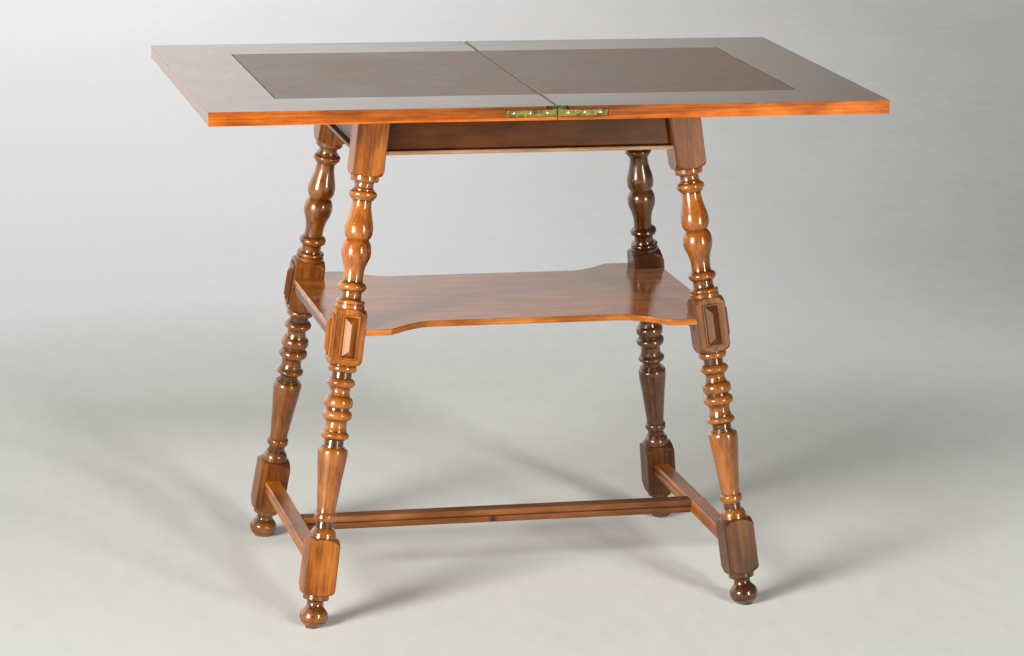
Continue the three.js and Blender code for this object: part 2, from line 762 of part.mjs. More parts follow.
// A ring with a bore: the washer is round and the nut has six sides
function ringGeometry(radius, bore, low, high, sides) {
  const body = solid(cylinder(radius, low, high, sides));
  return geometryOf(body.subtract(solid(cylinder(bore, low - overrun, high + overrun, roundSides))));
}

const washerLow = nutTop + fitGap;
const washer = ringGeometry(washerRadius, boltBore, washerLow, washerLow + washerThickness, roundSides);
place('pivot_washer', washer, steel).position.set(pivotX, pivotY, 0);
const nut = ringGeometry(nutRadius, boltBore, nutTop - nutThickness, nutTop, nutSides);
place('pivot_nut', nut, steel).position.set(pivotX, pivotY, 0);

const peg = cylinder(stopPegRadius, underside - stopPegLength, stopSeatTop, roundSides);
place('stop_peg', peg, railWood).position.set(stopX, stopY, 0);

export default table;
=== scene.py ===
# %% [markdown]
# # A fold over card table
# The table stands open. Its top is two leaves that meet on link hinges, and it turns on a
# pivot so that a frame of half its length can carry it open and closed. The frame has four
# splayed legs, each turned from one square length, a frieze, a shaped shelf and an H
# stretcher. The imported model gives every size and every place, so we load it first and
# build each fine piece inside the plain solid that it replaces.

# %% Load the frame
import math

import bmesh
import bpy
from mathutils import Matrix, Vector


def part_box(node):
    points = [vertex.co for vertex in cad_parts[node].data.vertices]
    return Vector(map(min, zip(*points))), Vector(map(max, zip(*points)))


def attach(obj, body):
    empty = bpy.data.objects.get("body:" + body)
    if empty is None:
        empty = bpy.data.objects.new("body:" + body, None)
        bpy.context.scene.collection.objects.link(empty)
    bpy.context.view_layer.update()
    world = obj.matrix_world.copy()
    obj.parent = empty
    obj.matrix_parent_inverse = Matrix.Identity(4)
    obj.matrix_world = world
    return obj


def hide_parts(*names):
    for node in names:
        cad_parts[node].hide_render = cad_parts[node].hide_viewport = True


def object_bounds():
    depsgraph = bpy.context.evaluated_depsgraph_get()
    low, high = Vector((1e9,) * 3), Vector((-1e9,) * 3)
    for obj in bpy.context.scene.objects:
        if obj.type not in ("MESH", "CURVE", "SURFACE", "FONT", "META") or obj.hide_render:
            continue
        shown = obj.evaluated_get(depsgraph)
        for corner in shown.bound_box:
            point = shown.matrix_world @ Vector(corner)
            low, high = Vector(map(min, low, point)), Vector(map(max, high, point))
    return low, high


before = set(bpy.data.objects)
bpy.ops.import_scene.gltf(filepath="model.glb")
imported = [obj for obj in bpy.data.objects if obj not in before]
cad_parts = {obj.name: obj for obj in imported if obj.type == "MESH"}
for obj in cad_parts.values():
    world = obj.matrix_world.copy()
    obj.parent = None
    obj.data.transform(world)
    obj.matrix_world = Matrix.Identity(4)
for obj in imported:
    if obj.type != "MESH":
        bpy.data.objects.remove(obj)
cad_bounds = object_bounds()
mm = 0.001

# %% [markdown]
# ## Helpers for shapes
# Most pieces of a table are one of three things: an outline raised to a thickness, a
# section carried along a line, or a solid with something cut out of it. Each is a short
# function here, so that the cells further down read like a cutting list.

# %% Shapes
class Opened:
    """A mesh held open for editing inside a with block, and written back after it."""

    def __init__(self, mesh):
        self.mesh = mesh

    def __enter__(self):
        self.work = bmesh.new()
        self.work.from_mesh(self.mesh)
        return self.work

    def __exit__(self, *error):
        self.work.to_mesh(self.mesh)
        self.work.free()


def added(name, data):
    """Puts a mesh, a lamp or a camera into the scene."""
    piece = bpy.data.objects.new(name, data)
    bpy.context.scene.collection.objects.link(piece)
    return piece


def add_piece(name, vertices, faces):
    """Makes a piece from points and faces, with its faces turned outwards."""
    mesh = bpy.data.meshes.new(name)
    with Opened(mesh) as work:
        corners = [work.verts.new(point) for point in vertices]
        for face in faces:
            work.faces.new([corners[index] for index in face])
        bmesh.ops.recalc_face_normals(work, faces=work.faces)
    return added(name, mesh)


def add_line(name, points, closed=False):
    """Makes a line through points, open or closed."""
    count = len(points)
    mesh = bpy.data.meshes.new(name)
    mesh.from_pydata(points, [(i, (i + 1) % count) for i in range(count if closed else count - 1)], [])
    return added(name, mesh)


def loft(name, rings):
    """Joins rings of points into one closed body, with a face over each end."""
    count = len(rings[0])
    vertices = [point for ring in rings for point in ring]
    faces = [list(range(count)), list(range(len(vertices) - count, len(vertices)))]
    for near in range(len(vertices) - count):
        beside = near + 1 if (near + 1) % count else near + 1 - count
        faces.append([near, beside, beside + count, near + count])
    return add_piece(name, vertices, faces)


def rectangle(width, length, height):
    """The corners of a level rectangle round the upright axis."""
    return [(across * width / 2, along * length / 2, height)
            for across, along in ((-1, -1), (1, -1), (1, 1), (-1, 1))]


def raised(name, outline, low, high):
    """Raises an outline in plan from one height to another."""
    return loft(name, [[(x, y, z) for x, y in outline] for z in (low, high)])


def bar_between(name, low, high):
    """A plain bar between two corners."""
    outline = [(low.x, low.y), (high.x, low.y), (high.x, high.y), (low.x, high.y)]
    return raised(name, outline, low.z, high.z)


def applied(piece):
    """Turns a piece with modifiers into a plain mesh."""
    graph = bpy.context.evaluated_depsgraph_get()
    mesh = bpy.data.meshes.new_from_object(
        piece.evaluated_get(graph), preserve_all_data_layers=True, depsgraph=graph)
    piece.modifiers.clear()
    piece.data = mesh
    return piece


def cut_away(piece, cutter):
    """Cuts one piece out of another and leaves the cutter as it was."""
    cut = piece.modifiers.new("cut", "BOOLEAN")
    cut.operation = "DIFFERENCE"
    cut.solver = "EXACT"
    cut.object = cutter
    applied(piece)


def round_edges(piece, radius, chosen, segments=3):
    """Rounds the edges whose two ends pass a test."""
    with Opened(piece.data) as work:
        edges = [edge for edge in work.edges if chosen(edge.verts[0].co, edge.verts[1].co)]
        bmesh.ops.bevel(work, geom=edges, offset=radius, offset_type="OFFSET", segments=segments,
                        profile=0.5, affect="EDGES", clamp_overlap=True)


def refined(name, node, radius, segments=2):
    """Copies a node's mesh, merges its loose triangles and rounds its sharp edges."""
    mesh = bpy.data.meshes.new(name)
    with Opened(mesh) as work:
        work.from_mesh(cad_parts[node].data)
        bmesh.ops.remove_doubles(work, verts=work.verts, dist=0.002 * mm)
        bmesh.ops.dissolve_limit(
            work, angle_limit=math.radians(1), verts=work.verts, edges=work.edges)
    piece = added(name, mesh)
    bevel = piece.modifiers.new("round", "BEVEL")
    bevel.width = radius
    bevel.segments = segments
    bevel.limit_method = "ANGLE"
    bevel.angle_limit = math.radians(35)
    return applied(piece)


# %% [markdown]
# ## Grain that follows the plank
# On real furniture the grain runs along each board, and no two boards match. Object
# coordinates would run one block of wood through the whole table. Instead each piece stores
# where its points lie in its own plank, in metres with X along the grain, and a shift that
# picks a different part of the tree. A second value, age and shade, marks darker wood, from
# age and on some legs from painted shade, and a third, grime and shade, marks hollows
# darkened by old polish and dirt and by painted shade. Some pieces have more than one
# finish, and a short rule then picks one for each face.

# %% Finishing a piece
planks_laid = []


def store(mesh, name, values, kind="FLOAT"):
    """Stores a value for each point of a mesh."""
    layer = mesh.attributes.new(name, kind, "POINT")
    for place, value in zip(layer.data, values):
        setattr(place, "value" if kind == "FLOAT" else "vector", value)


def lay_grain(piece, along, age_and_shade=lambda place: 0.0, grime=None):
    """Stores each point's place in its own plank, how dark the wood is from age and painted shade, and
    how dark its hollows are from dirt and painted shade.
    """
    planks_laid.append(piece.name)
    turn = Vector(along).normalized().rotation_difference(Vector((1, 0, 0))).to_matrix()
    shift = Vector((1.37, 0.113, 0.071)) * len(planks_laid)
    shift.y %= 0.9
    shift.z = 0.04 + shift.z % 0.12
    points = [vertex.co.copy() for vertex in piece.data.vertices]
    store(piece.data, "grain", [turn @ point + shift for point in points], "FLOAT_VECTOR")
    store(piece.data, "age_and_shade", [age_and_shade(point) for point in points])
    if grime:
        store(piece.data, "grime", [grime(point) for point in points])


def finish_piece(piece, material, body, nodes, angle=32):
    """Shades a piece, gives it a material and puts it on the body that carries it."""
    piece.data.shade_smooth()
    piece.data.set_sharp_from_angle(angle=math.radians(angle))
    level = piece.modifiers.new("flat faces stay flat", "WEIGHTED_NORMAL")
    level.keep_sharp = True
    applied(piece)
    piece.data.materials.clear()
    piece.data.materials.append(material)
    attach(piece, body)
    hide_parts(*nodes)


def paint(piece, finishes, pick):
    """Gives a finished piece more finishes, and each face the one whose number is picked."""
    for finish in finishes:
        piece.data.materials.append(finish)
    for face in piece.data.polygons:
        face.material_index = pick(face)


# %% [markdown]
# ## Materials
# Small helpers add the nodes and fill their sockets, so that a material reads from the
# pattern to the shader. What is the same all over a surface is set on the shader's own
# socket.

# %% Node helpers
def feed(node, values):
    """Gives each named socket of a node a link or a value."""
    for key, value in values.items():
        if isinstance(value, bpy.types.NodeSocket):
            node.id_data.links.new(value, node.inputs[key])
        else:
            node.inputs[key].default_value = value


def put(tree, kind, values, out=None, **settings):
    """Adds a node with its settings and sockets, and gives back the node or one output."""
    node = tree.nodes.new(kind)
    for key, value in settings.items():
        setattr(node, key, value)
    feed(node, values)
    return node if out is None else node.outputs[out]


def blank_material(name):
    """A new material, its tree and its shader."""
    material = bpy.data.materials.new(name)
    material.use_nodes = True
    return material, material.node_tree, material.node_tree.nodes["Principled BSDF"]


def maths(operation, first, second):
    return put(first.id_data, "ShaderNodeMath", {0: first, 1: second}, "Value", operation=operation)


def plus(first, second):
    return maths("ADD", first, second)


def times(first, second):
    return maths("MULTIPLY", first, second)


def mapped(value, low, high, to_low=0.0, to_high=1.0, curve="SMOOTHSTEP"):
    """Carries the values between two bounds to another stretch."""
    return put(value.id_data, "ShaderNodeMapRange",
               {"Value": value, "From Min": low, "From Max": high, "To Min": to_low,
                "To Max": to_high}, "Result", interpolation_type=curve)


def ramp(factor, *stops):
    """A colour ramp from (position, colour) stops."""
    node = put(factor.id_data, "ShaderNodeValToRGB", {"Fac": factor})
    band = node.color_ramp.elements
    band[0].position, band[1].position = stops[0][0], stops[-1][0]
    band[0].color = (*stops[0][1], 1)
    band[1].color = (*stops[-1][1], 1)
    for position, colour in stops[1:-1]:
        band.new(position).color = (*colour, 1)
    return node.outputs["Color"]


def mixed(factor, first, second, blend="MIX"):
    """Blends two colours."""
    return put(factor.id_data, "ShaderNodeMix", {0: factor, 6: first, 7: second}, 2,
               data_type="RGBA", blend_type=blend)


def noise(place, scale, detail=3.0, roughness=0.55):
    """Noise drawn out by a different number of spots per metre along each axis."""
    spread = put(place.id_data, "ShaderNodeMapping", {"Vector": place, "Scale": scale}, "Vector")
    return put(place.id_data, "ShaderNodeTexNoise",
               {"Vector": spread, "Scale": 1.0, "Detail": detail, "Roughness": roughness}, "Fac")


def bump(height, strength, distance):
    return put(height.id_data, "ShaderNodeBump",
               {"Height": height, "Strength": strength, "Distance": distance}, "Normal")


def stored(tree, name, out="Fac"):
    """What a piece has stored for each point."""
    return put(tree, "ShaderNodeAttribute", {}, out, attribute_name=name)


# %% [markdown]
# Polished mahogany shows three things at once: growth rings drawn out into long bands, fine
# fibres, and short dark pores. A wave texture gives the rings, and noise that is stretched
# along the grain gives the rest. The same recipe serves every wooden piece, with its own
# colours, because the legs have faded to gold and the frieze has stayed dark. Age, which on
# some legs also carries painted shade, darkens the wood and makes its fibres show as
# streaks. Grime mixes in a dark colour for dirt and for painted shade in hollows.

# %% Wood
def wood(name, dark, middle, light, roughness=0.22, figure=0.04, pores=0.2, coat=0.1,
         gloss=0.42, relief=0.05, sheen=(1, 1, 1)):
    material, tree, shader = blank_material(name)
    grain, age_and_shade = stored(tree, "grain", "Vector"), stored(tree, "age_and_shade")
    drawn_out = put(tree, "ShaderNodeMapping", {"Vector": grain, "Scale": (0.16, 1.0, 1.0)}, "Vector")
    rings = put(tree, "ShaderNodeTexWave",
                {"Vector": drawn_out, "Scale": 62.0, "Distortion": 9.0, "Detail": 3.0,
                 "Detail Scale": 0.5}, "Fac", wave_type="RINGS", rings_direction="X")
    fibres = noise(grain, (14, 420, 420), 4.0, 0.65)
    mottle = noise(grain, (11, 34, 34), 4.0, 0.6)
    texture = plus(times(rings, figure), times(fibres, 0.25 - figure))
    tone = plus(texture, times(mottle, 0.75))
    streaks = times(plus(fibres, -0.5), age_and_shade)
    colour = ramp(plus(tone, times(streaks, 0.5)), (0.38, dark), (0.5, middle), (0.62, light))
    colour = mixed(age_and_shade, colour, (0.22, 0.25, 0.6, 1), "MULTIPLY")
    pore = ramp(noise(grain, (48, 950, 950), 2.0), (0.3, (1, 1, 1)), (0.42, (0, 0, 0)))
    pitted = mixed(times(pore, pores), colour, (*dark, 1))
    # The dark colour that hollows take: dirt and painted shade.
    dirt_and_shade_colour = tuple(0.13 * channel for channel in middle)
    feed(shader, {"Base Color": mixed(stored(tree, "grime"), pitted, (*dirt_and_shade_colour, 1)),
                  "Roughness": plus(times(mottle, 0.16), roughness - 0.08),
                  "Normal": bump(plus(fibres, times(pore, -0.6)), relief, 0.3 * mm),
                  "Specular IOR Level": gloss, "Specular Tint": (*sheen, 1),
                  "Coat Weight": coat, "Coat Roughness": 0.12})
    return material


golden = ((0.14, 0.032, 0.003), (0.30, 0.081, 0.007), (0.43, 0.138, 0.016))
leg_wood = wood("golden leg wood", *golden, roughness=0.34, coat=0.0, gloss=0.4, sheen=(1, 0.86, 0.7))
turned_wood = wood("polished turned wood", *golden, roughness=0.2, coat=0.25, gloss=0.85,
                   sheen=(1, 0.9, 0.7))
low_wood = wood("dull stretcher wood", (0.22, 0.080, 0.020), (0.31, 0.115, 0.030), (0.39, 0.155, 0.045),
                roughness=0.6, coat=0.0, gloss=0.03)
# The bead wood is pale: partly rubbed wear, partly a painted highlight where light catches it.
bead_wear_and_highlight_wood = wood("rubbed bead wood with painted highlight", (0.20, 0.10, 0.045), (0.30, 0.16, 0.08), (0.40, 0.24, 0.14))
rail_wood = wood("dark frieze wood", (0.032, 0.007, 0.001), (0.055, 0.013, 0.001),
                 (0.09, 0.023, 0.003), roughness=0.34, figure=0.0, coat=0.0, gloss=0.3,
                 sheen=(1, 0.72, 0.5))
edge_wood = wood("border wood", (0.24, 0.050, 0.004), (0.40, 0.088, 0.006), (0.55, 0.142, 0.013),
                 roughness=0.4, coat=0.0, gloss=0.14)
faded_wood = wood("faded border wood", (0.12, 0.056, 0.019), (0.145, 0.071, 0.024),
                  (0.17, 0.088, 0.031), pores=0.0, relief=0.01, sheen=(1, 0.93, 0.84))
# The joint edge is painted pale and grey: partly wear, partly painted sheen to match the lit top beside
# it.
joint_wear_and_sheen_wood = wood("worn joint edge with painted sheen", (0.16, 0.13, 0.10), (0.20, 0.17, 0.13), (0.25, 0.21, 0.17),
                  pores=0.0, roughness=0.6, coat=0.0, gloss=0.25, relief=0.01)
board_wood = wood("hidden board wood", (0.12, 0.048, 0.018), (0.17, 0.072, 0.028),
                  (0.23, 0.105, 0.045), roughness=0.6, coat=0.0)
shelf_wood = wood("shelf wood", (0.20, 0.054, 0.007), (0.32, 0.096, 0.014), (0.43, 0.148, 0.030),
                  roughness=0.17, coat=0.0, gloss=0.28, relief=0.02, sheen=(1, 0.80, 0.6))
print("wood finishes:", [m.name for m in bpy.data.materials if "wood" in m.name])


# %% [markdown]
# The inset of the top is leather, worn smooth. Its colour drifts in soft clouds, and a fine
# pebble shows as bump. The hinges are brass that has gone dull and greenish, and the pivot
# under the top is plain steel.

# %% Leather
def worn_leather(name, dark, middle, light, roughness, gloss):
    material, tree, shader = blank_material(name)
    place = put(tree, "ShaderNodeTexCoord", {}, "Object")
    clouds = noise(place, (9, 9, 9), 4.0, 0.6)
    wear = noise(place, (38, 38, 38), 3.0, 0.6)
    tone = plus(times(clouds, 0.65), times(wear, 0.35))
    pebble = put(tree, "ShaderNodeTexVoronoi", {"Vector": place, "Scale": 900.0}, "Distance",
                 feature="SMOOTH_F1")
    feed(shader, {"Base Color": ramp(tone, (0.36, dark), (0.5, middle), (0.64, light)),
                  "Roughness": plus(times(clouds, 0.2), roughness - 0.1),
                  "Normal": bump(pebble, 0.15, 0.2 * mm),
                  "Specular IOR Level": gloss, "Specular Tint": (1, 0.92, 0.82, 1)})
    return material


leather = worn_leather("worn leather", (0.095, 0.044, 0.019), (0.142, 0.070, 0.030),
                       (0.20, 0.105, 0.050), 0.38, 0.26)
# The fold is painted paler than the leather: partly wear, partly painted sheen to match the lit top
# beside it.
leather_fold_with_sheen = worn_leather("leather at the fold with painted sheen", (0.15, 0.095, 0.06), (0.20, 0.13, 0.09),
                            (0.26, 0.18, 0.13), 0.5, 0.3)
leather_rim = worn_leather("leather rim", (0.010, 0.006, 0.004), (0.022, 0.013, 0.008),
                           (0.12, 0.09, 0.07), 0.85, 0.05)


# %% Metals
def metal(name, dull, bright, stain, roughness):
    """Metal whose polish has gone in patches, with stain where it gathers."""
    material, tree, shader = blank_material(name)
    place = put(tree, "ShaderNodeTexCoord", {}, "Object")
    patches = noise(place, (120, 120, 120), 4.0, 0.6)
    specks = noise(place, (700, 700, 700), 2.0)
    colour = ramp(patches, (0.35, dull), (0.65, bright))
    mask = ramp(specks, (0.5, (0, 0, 0)), (0.68, (0.8, 0.8, 0.8)))
    feed(shader, {"Base Color": mixed(mask, colour, (*stain, 1)), "Metallic": 1.0,
                  "Roughness": plus(times(patches, 0.25), roughness - 0.1),
                  "Normal": bump(specks, 0.2, 0.1 * mm)})
    return material


brass = metal("aged brass", (0.08, 0.07, 0.018), (0.31, 0.26, 0.07), (0.02, 0.02, 0.008), 0.36)
dark_brass = metal("stained brass", (0.02, 0.018, 0.008), (0.16, 0.13, 0.045), (0.01, 0.01, 0.005), 0.45)
bright_brass = metal("rubbed brass", (0.65, 0.56, 0.32), (0.95, 0.88, 0.62), (0.10, 0.08, 0.03), 0.25)
steel = metal("dull steel", (0.16, 0.155, 0.15), (0.34, 0.33, 0.32), (0.08, 0.045, 0.025), 0.45)
print("other finishes:", leather.name, brass.name, steel.name)

# %% [markdown]
# ## The legs
# Each leg is one length of wood. The turner leaves three square blocks on it and cuts
# the rest round, so everywhere the leg is the smaller of two shapes: a turned blank and a
# square one. That rule also draws the arched shoulders of the blocks. Geometry Nodes sweep
# a ring along the leg's line, as wide as the turning says, and then draw each point in to
# the square.

# %% Where the legs stand
top_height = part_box("leg_front_left")[1].z


def middle_at(node, height):
    """The middle of a leg's end at a height, from the node's own corners."""
    ends = [v.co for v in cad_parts[node].data.vertices if abs(v.co.z - height) < 0.01 * mm]
    middle = [(min(p[axis] for p in ends) + max(p[axis] for p in ends)) / 2 for axis in (0, 1)]
    return Vector((*middle, height))


corner_names = ["front_left", "front_right", "back_left", "back_right"]
leg_lines = {corner: (middle_at(f"leg_{corner}", 0.0), middle_at(f"leg_{corner}", top_height))
             for corner in corner_names}
first_foot, first_top = leg_lines["front_left"]
stretch = (first_top - first_foot).length / top_height
print("leg line:", [round(value / mm, 1) for value in (*first_foot, *first_top)])


def leg_place(corner):
    """The turn and place that stand an upright leg on its own line."""
    foot, top = leg_lines[corner]
    lean = Vector((0, 0, 1)).rotation_difference(top - foot).to_matrix().to_4x4()
    return Matrix.Translation(foot) @ lean


# %% [markdown]
# The turning is written as short runs of (height, radius) in millimetres, read upwards. A
# smooth curve goes through the points of one run, and where two runs meet there is a sharp
# step, as the tool leaves it. The runs between the blocks are the feet, the lower spindle
# and the upper spindle. A block is (low, high) and the radius of the collars it meets.

# %% The turned outline
block_half, block_arris = 22.0, 1.2
shoulder_rise, shoulder_curve = 9.0, 0.55
blocks = [(45.4, 124.0, 18.2, 18.5), (362.5, 440.0, 19.5, 20.5), (620.7, 790.0, 20.0, 20.0)]
foot_runs = [
    [(-8, 10.5), (0, 10.5), (4, 15), (7.4, 18)],
    [(7.9, 17.4), (8.6, 17.5)],
    [(9.1, 18.9), (14, 20), (19, 19.5), (23, 17.5), (26.3, 14.5), (29, 12.2), (33, 11.5),
     (36, 12), (37.5, 14)],
    [(38.2, 17.4), (39, 18.2), (44.4, 18.2), (45.4, 18.2)],
]
lower_runs = [
    [(124, 18.5), (131, 17.5), (137.4, 14)],
    [(137.4, 12), (146.4, 12)],
    [(146.4, 13.5), (148, 14.5), (150.5, 15.6), (155, 15.6), (158, 14)],
    [(158.4, 13.2), (161.6, 13.2), (180, 14.7), (200, 16.6), (220, 18.9), (236, 20.6),
     (242, 21), (246, 20.3), (248.5, 18.5)],
    [(248.5, 16), (251, 16)],
    [(251, 13.3), (259, 13.3)],
    [(259.4, 15), (260.4, 16.4), (263, 19.5), (266, 20), (269, 18), (270.5, 16.5)],
    [(270.5, 16), (272, 15.8), (278, 14.6), (284, 14.8), (286.5, 16.4)],
    [(286.8, 17.4), (290, 20.5), (293.5, 21.2), (297, 20.3), (299.8, 17.4)],
    [(300, 16), (303, 16)],
    [(303.2, 17.4), (306.5, 20), (311, 20.4), (315, 19.6), (318.5, 17)],
    [(318.6, 15.4), (320.6, 14.8), (326, 13.7), (331, 14.2)],
    [(331.2, 15.4), (334.5, 19), (338, 20.2), (341, 19), (343.8, 16)],
    [(344.2, 13.8), (352.4, 13.8)],
    [(352.6, 17.0), (354, 18.8), (357, 20.1), (360, 19.8), (361.6, 18.6)],
    [(361.8, 18.0), (362.5, 18.0)],
]
upper_runs = [
    [(440, 20.5), (444.6, 20.4), (445.4, 19.6)],
    [(445.6, 18.6), (446.4, 18.6)],
    [(446.6, 19.6), (448.2, 20.4), (450.4, 20), (451.8, 18.4)],
    [(452, 15.4), (454, 14.6), (458, 14.2), (463, 14.4)],
    [(463.2, 15.6), (467, 19.3), (470, 19.8), (473, 18.8), (475.8, 15.6)],
    [(476.2, 13.8), (482, 13.5), (490, 13.9), (498, 15.5), (505, 18), (511, 20.2), (518, 21),
     (525, 20.3), (530, 18.4), (534.2, 15.4)],
    [(534.4, 15.6), (538, 18), (543, 19.8), (549, 20.1), (555, 19.4), (562, 17.6),
     (570, 15.6), (578, 14.1), (587.5, 13.5)],
    [(587.8, 15.2), (588.5, 16.2), (590.6, 16.6)],
    [(590.8, 17.4), (594, 19.8), (597, 19.9), (599.5, 18.2), (600.4, 16.6)],
    [(600.6, 16), (602.6, 16)],
    [(602.8, 14.2), (605, 13.6), (609, 13.4), (612.8, 14)],
    [(613, 18.6), (615, 20), (619.6, 20), (620.7, 20)],
]


def smooth_run(run, step=1.1):
    """Points on a curve through a run that never swings past them."""
    if len(run) == 2:
        return run
    rises = [(b[1] - a[1]) / (b[0] - a[0]) for a, b in zip(run, run[1:])]
    slopes = [rises[0]]
    for before, after in zip(rises, rises[1:]):
        level = before * after <= 0
        slopes.append(0.0 if level else 2 * before * after / (before + after))
    slopes.append(rises[-1])
    points = [run[0]]
    for index, (start, end) in enumerate(zip(run, run[1:])):
        gap = end[0] - start[0]
        parts = max(1, math.ceil(gap / step))
        for part in range(1, parts + 1):
            t = part / parts
            radius = ((1 + 2 * t) * (1 - t) ** 2 * start[1] + t * (1 - t) ** 2 * gap * slopes[index]
                      + t * t * (3 - 2 * t) * end[1] + t * t * (t - 1) * gap * slopes[index + 1])
            points.append((start[0] + t * gap, radius))
    return points


def shoulder(edge, inwards, collar, steps=12):
    """The turned blank at one end of a block swells from the collar to the square's corner."""
    corner, shares = block_half * math.sqrt(2), [step / steps for step in range(steps + 1)]
    return [(edge + inwards * share * shoulder_rise,
             collar + (corner - collar) * share ** shoulder_curve) for share in shares]


def block_run(low, high, below, above):
    """A square block, with a shoulder at each end."""
    return shoulder(low, 1, below) + shoulder(high, -1, above)[::-1]


turning = []
for runs, block in zip((foot_runs, lower_runs, upper_runs), blocks):
    turning += [point for run in runs for point in smooth_run(run)] + block_run(*block)
print("points on the turned outline:", len(turning))


# %% [markdown]
# The hollows are darkened, most of all in the creases, by dirt and old polish and by painted
# shade. How deep a point lies is how much wider the leg is a little way above or below it. A
# short way finds the creases, a longer one the necks, and the two together become the grime
# and shade value.

# %% Grime and painted shade on the turning
def depth_at(height, own, reach):
    """How much wider the turning gets within a little way of a height, up and down."""
    return max(min(radius, block_half) for at_height, radius in turning
               if abs(at_height - height) <= reach) - own


def share_of(value, low, high):
    """How far a value has come on the way from a low one to a high one."""
    return min(1.0, max(0.0, (value - low) / (high - low)))


crease_reach, neck_reach = 1.6, 6.5
# Each value is dirt and painted shade in the creases and necks.
hollow_dirt_and_shade = []
for height, radius in turning:
    own = min(radius, block_half)
    crease = share_of(depth_at(height, own, crease_reach), 0.5, 2.5)
    neck = share_of(depth_at(height, own, neck_reach), 1.5, 6.0)
    hollow_dirt_and_shade.append(min(0.9, 0.75 * crease + 0.45 * neck))

# %% The leg's line and its section
line = [Vector((0, 0, height * stretch * mm)) for height, radius in turning]
for index in range(1, len(line)):
    line[index].z = max(line[index].z, line[index - 1].z + 0.01 * mm)
upright_leg = add_line("leg line", line)
store(upright_leg.data, "turned", [radius * mm for height, radius in turning])
store(upright_leg.data, "grime", hollow_dirt_and_shade)


def square_ring(half, arris):
    """Points round a square with rounded arrises."""
    corner = half - arris
    points = []
    for quarter in range(4):
        turn = Matrix.Rotation(math.pi / 2 * quarter, 2)
        for degrees in range(-40, 41, 5):
            points.append(turn @ Vector((half, half * math.tan(math.radians(degrees)))))
        for degrees in (0, 30, 60, 90):
            angle = math.radians(degrees)
            points.append(turn @ Vector((corner + arris * math.cos(angle),
                                         corner + arris * math.sin(angle))))
    return points


ring_points = square_ring(block_half, block_arris)
leg_section = add_line("leg section", [(*point.normalized(), 0) for point in ring_points], True)
store(leg_section.data, "reach", [point.length * mm for point in ring_points])


# %% Geometry Nodes helpers
def node_tree(name, sockets):
    """A Geometry Nodes tree with a geometry in, named inputs and a geometry out."""
    tree = bpy.data.node_groups.new(name, "GeometryNodeTree")
    for label, kind in {"Geometry": "Geometry", **sockets}.items():
        tree.interface.new_socket(label, in_out="INPUT", socket_type=f"NodeSocket{kind}")
    tree.interface.new_socket("Geometry", in_out="OUTPUT", socket_type="NodeSocketGeometry")
    return tree, put(tree, "NodeGroupInput", {}).outputs


def named(tree, name, kind="FLOAT"):
    """What a geometry has stored under a name."""
    return put(tree, "GeometryNodeInputNamedAttribute", {"Name": name}, "Attribute", data_type=kind)


def keep(geometry, name, value, kind="FLOAT", domain="POINT"):
    """Stores a value on a geometry."""
    return put(geometry.id_data, "GeometryNodeStoreNamedAttribute",
               {"Geometry": geometry, "Name": name, "Value": value}, "Geometry",
               data_type=kind, domain=domain)


def sweep(tree, given):
    """Sweeps the section along the path and closes both ends."""
    path = put(tree, "GeometryNodeMeshToCurve", {"Mesh": given["Geometry"]}, "Curve")
    outline = put(tree, "GeometryNodeObjectInfo", {"Object": given["Section"]}, "Geometry")
    section = put(tree, "GeometryNodeMeshToCurve", {"Mesh": outline}, "Curve")
    return put(tree, "GeometryNodeCurveToMesh",
               {"Curve": path, "Profile Curve": section, "Fill Caps": True}, "Mesh")


def close_tree(geometry, material):
    """Ends a tree with plain geometry in one material."""
    tree = geometry.id_data
    plain = put(tree, "GeometryNodeRealizeInstances", {"Geometry": geometry}, "Geometry")
    dressed = put(tree, "GeometryNodeSetMaterial", {"Geometry": plain, "Material": material}, "Geometry")
    put(tree, "NodeGroupOutput", {"Geometry": dressed})


def grow(piece, tree, values):
    """Runs a tree on a piece, with its inputs set by name, and keeps the plain mesh."""
    modifier = piece.modifiers.new(tree.name, "NODES")
    modifier.node_group = tree
    for item in tree.interface.items_tree:
        if item.in_out == "INPUT" and item.name in values:
            modifier[item.identifier] = values[item.name]
    applied(piece)


# %% The leg's tree
clean_reach, dirty_reach = 27.3 * mm, 30.3 * mm


def leg_tree():
    """Sweeps the leg, and adds dirt on its arrises, where the section reaches farthest."""
    tree, given = node_tree("turned leg", {"Section": "Object", "Finish": "Material"})
    smaller = maths("MINIMUM", named(tree, "turned"), named(tree, "reach"))
    width = put(tree, "ShaderNodeCombineXYZ", {"X": smaller, "Y": smaller, "Z": 1.0}, "Vector")
    place = put(tree, "GeometryNodeInputPosition", {}, "Position")
    drawn = put(tree, "ShaderNodeVectorMath", {0: place, 1: width}, "Vector", operation="MULTIPLY")
    shaped = put(tree, "GeometryNodeSetPosition",
                 {"Geometry": sweep(tree, given), "Position": drawn}, "Geometry")
    arris = mapped(smaller, clean_reach, dirty_reach, 0.0, 0.5, "LINEAR")
    close_tree(keep(shaped, "grime", maths("MAXIMUM", named(tree, "grime"), arris)), given["Finish"])
    return tree


grow(upright_leg, leg_tree(), {"Section": leg_section, "Finish": leg_wood})
bpy.data.objects.remove(leg_section)
print("upright leg:", len(upright_leg.data.vertices), "points,",
      [round(size / mm, 1) for size in upright_leg.dimensions])

# %% [markdown]
# The four legs lean outwards both ways, and each is sawn level at the floor and under the
# top. The grain value is laid before a leg leans, so that it runs along the leg. Hands have
# kept the turnings bright and worn the square blocks dull. The legs on the right and at the
# back are darker than the front left one, partly from age and partly as painted shade, as
# they stand farther from the light. Each leg has its age and shade at the foot and at the
# top, and the share of it that shows on the turned parts.

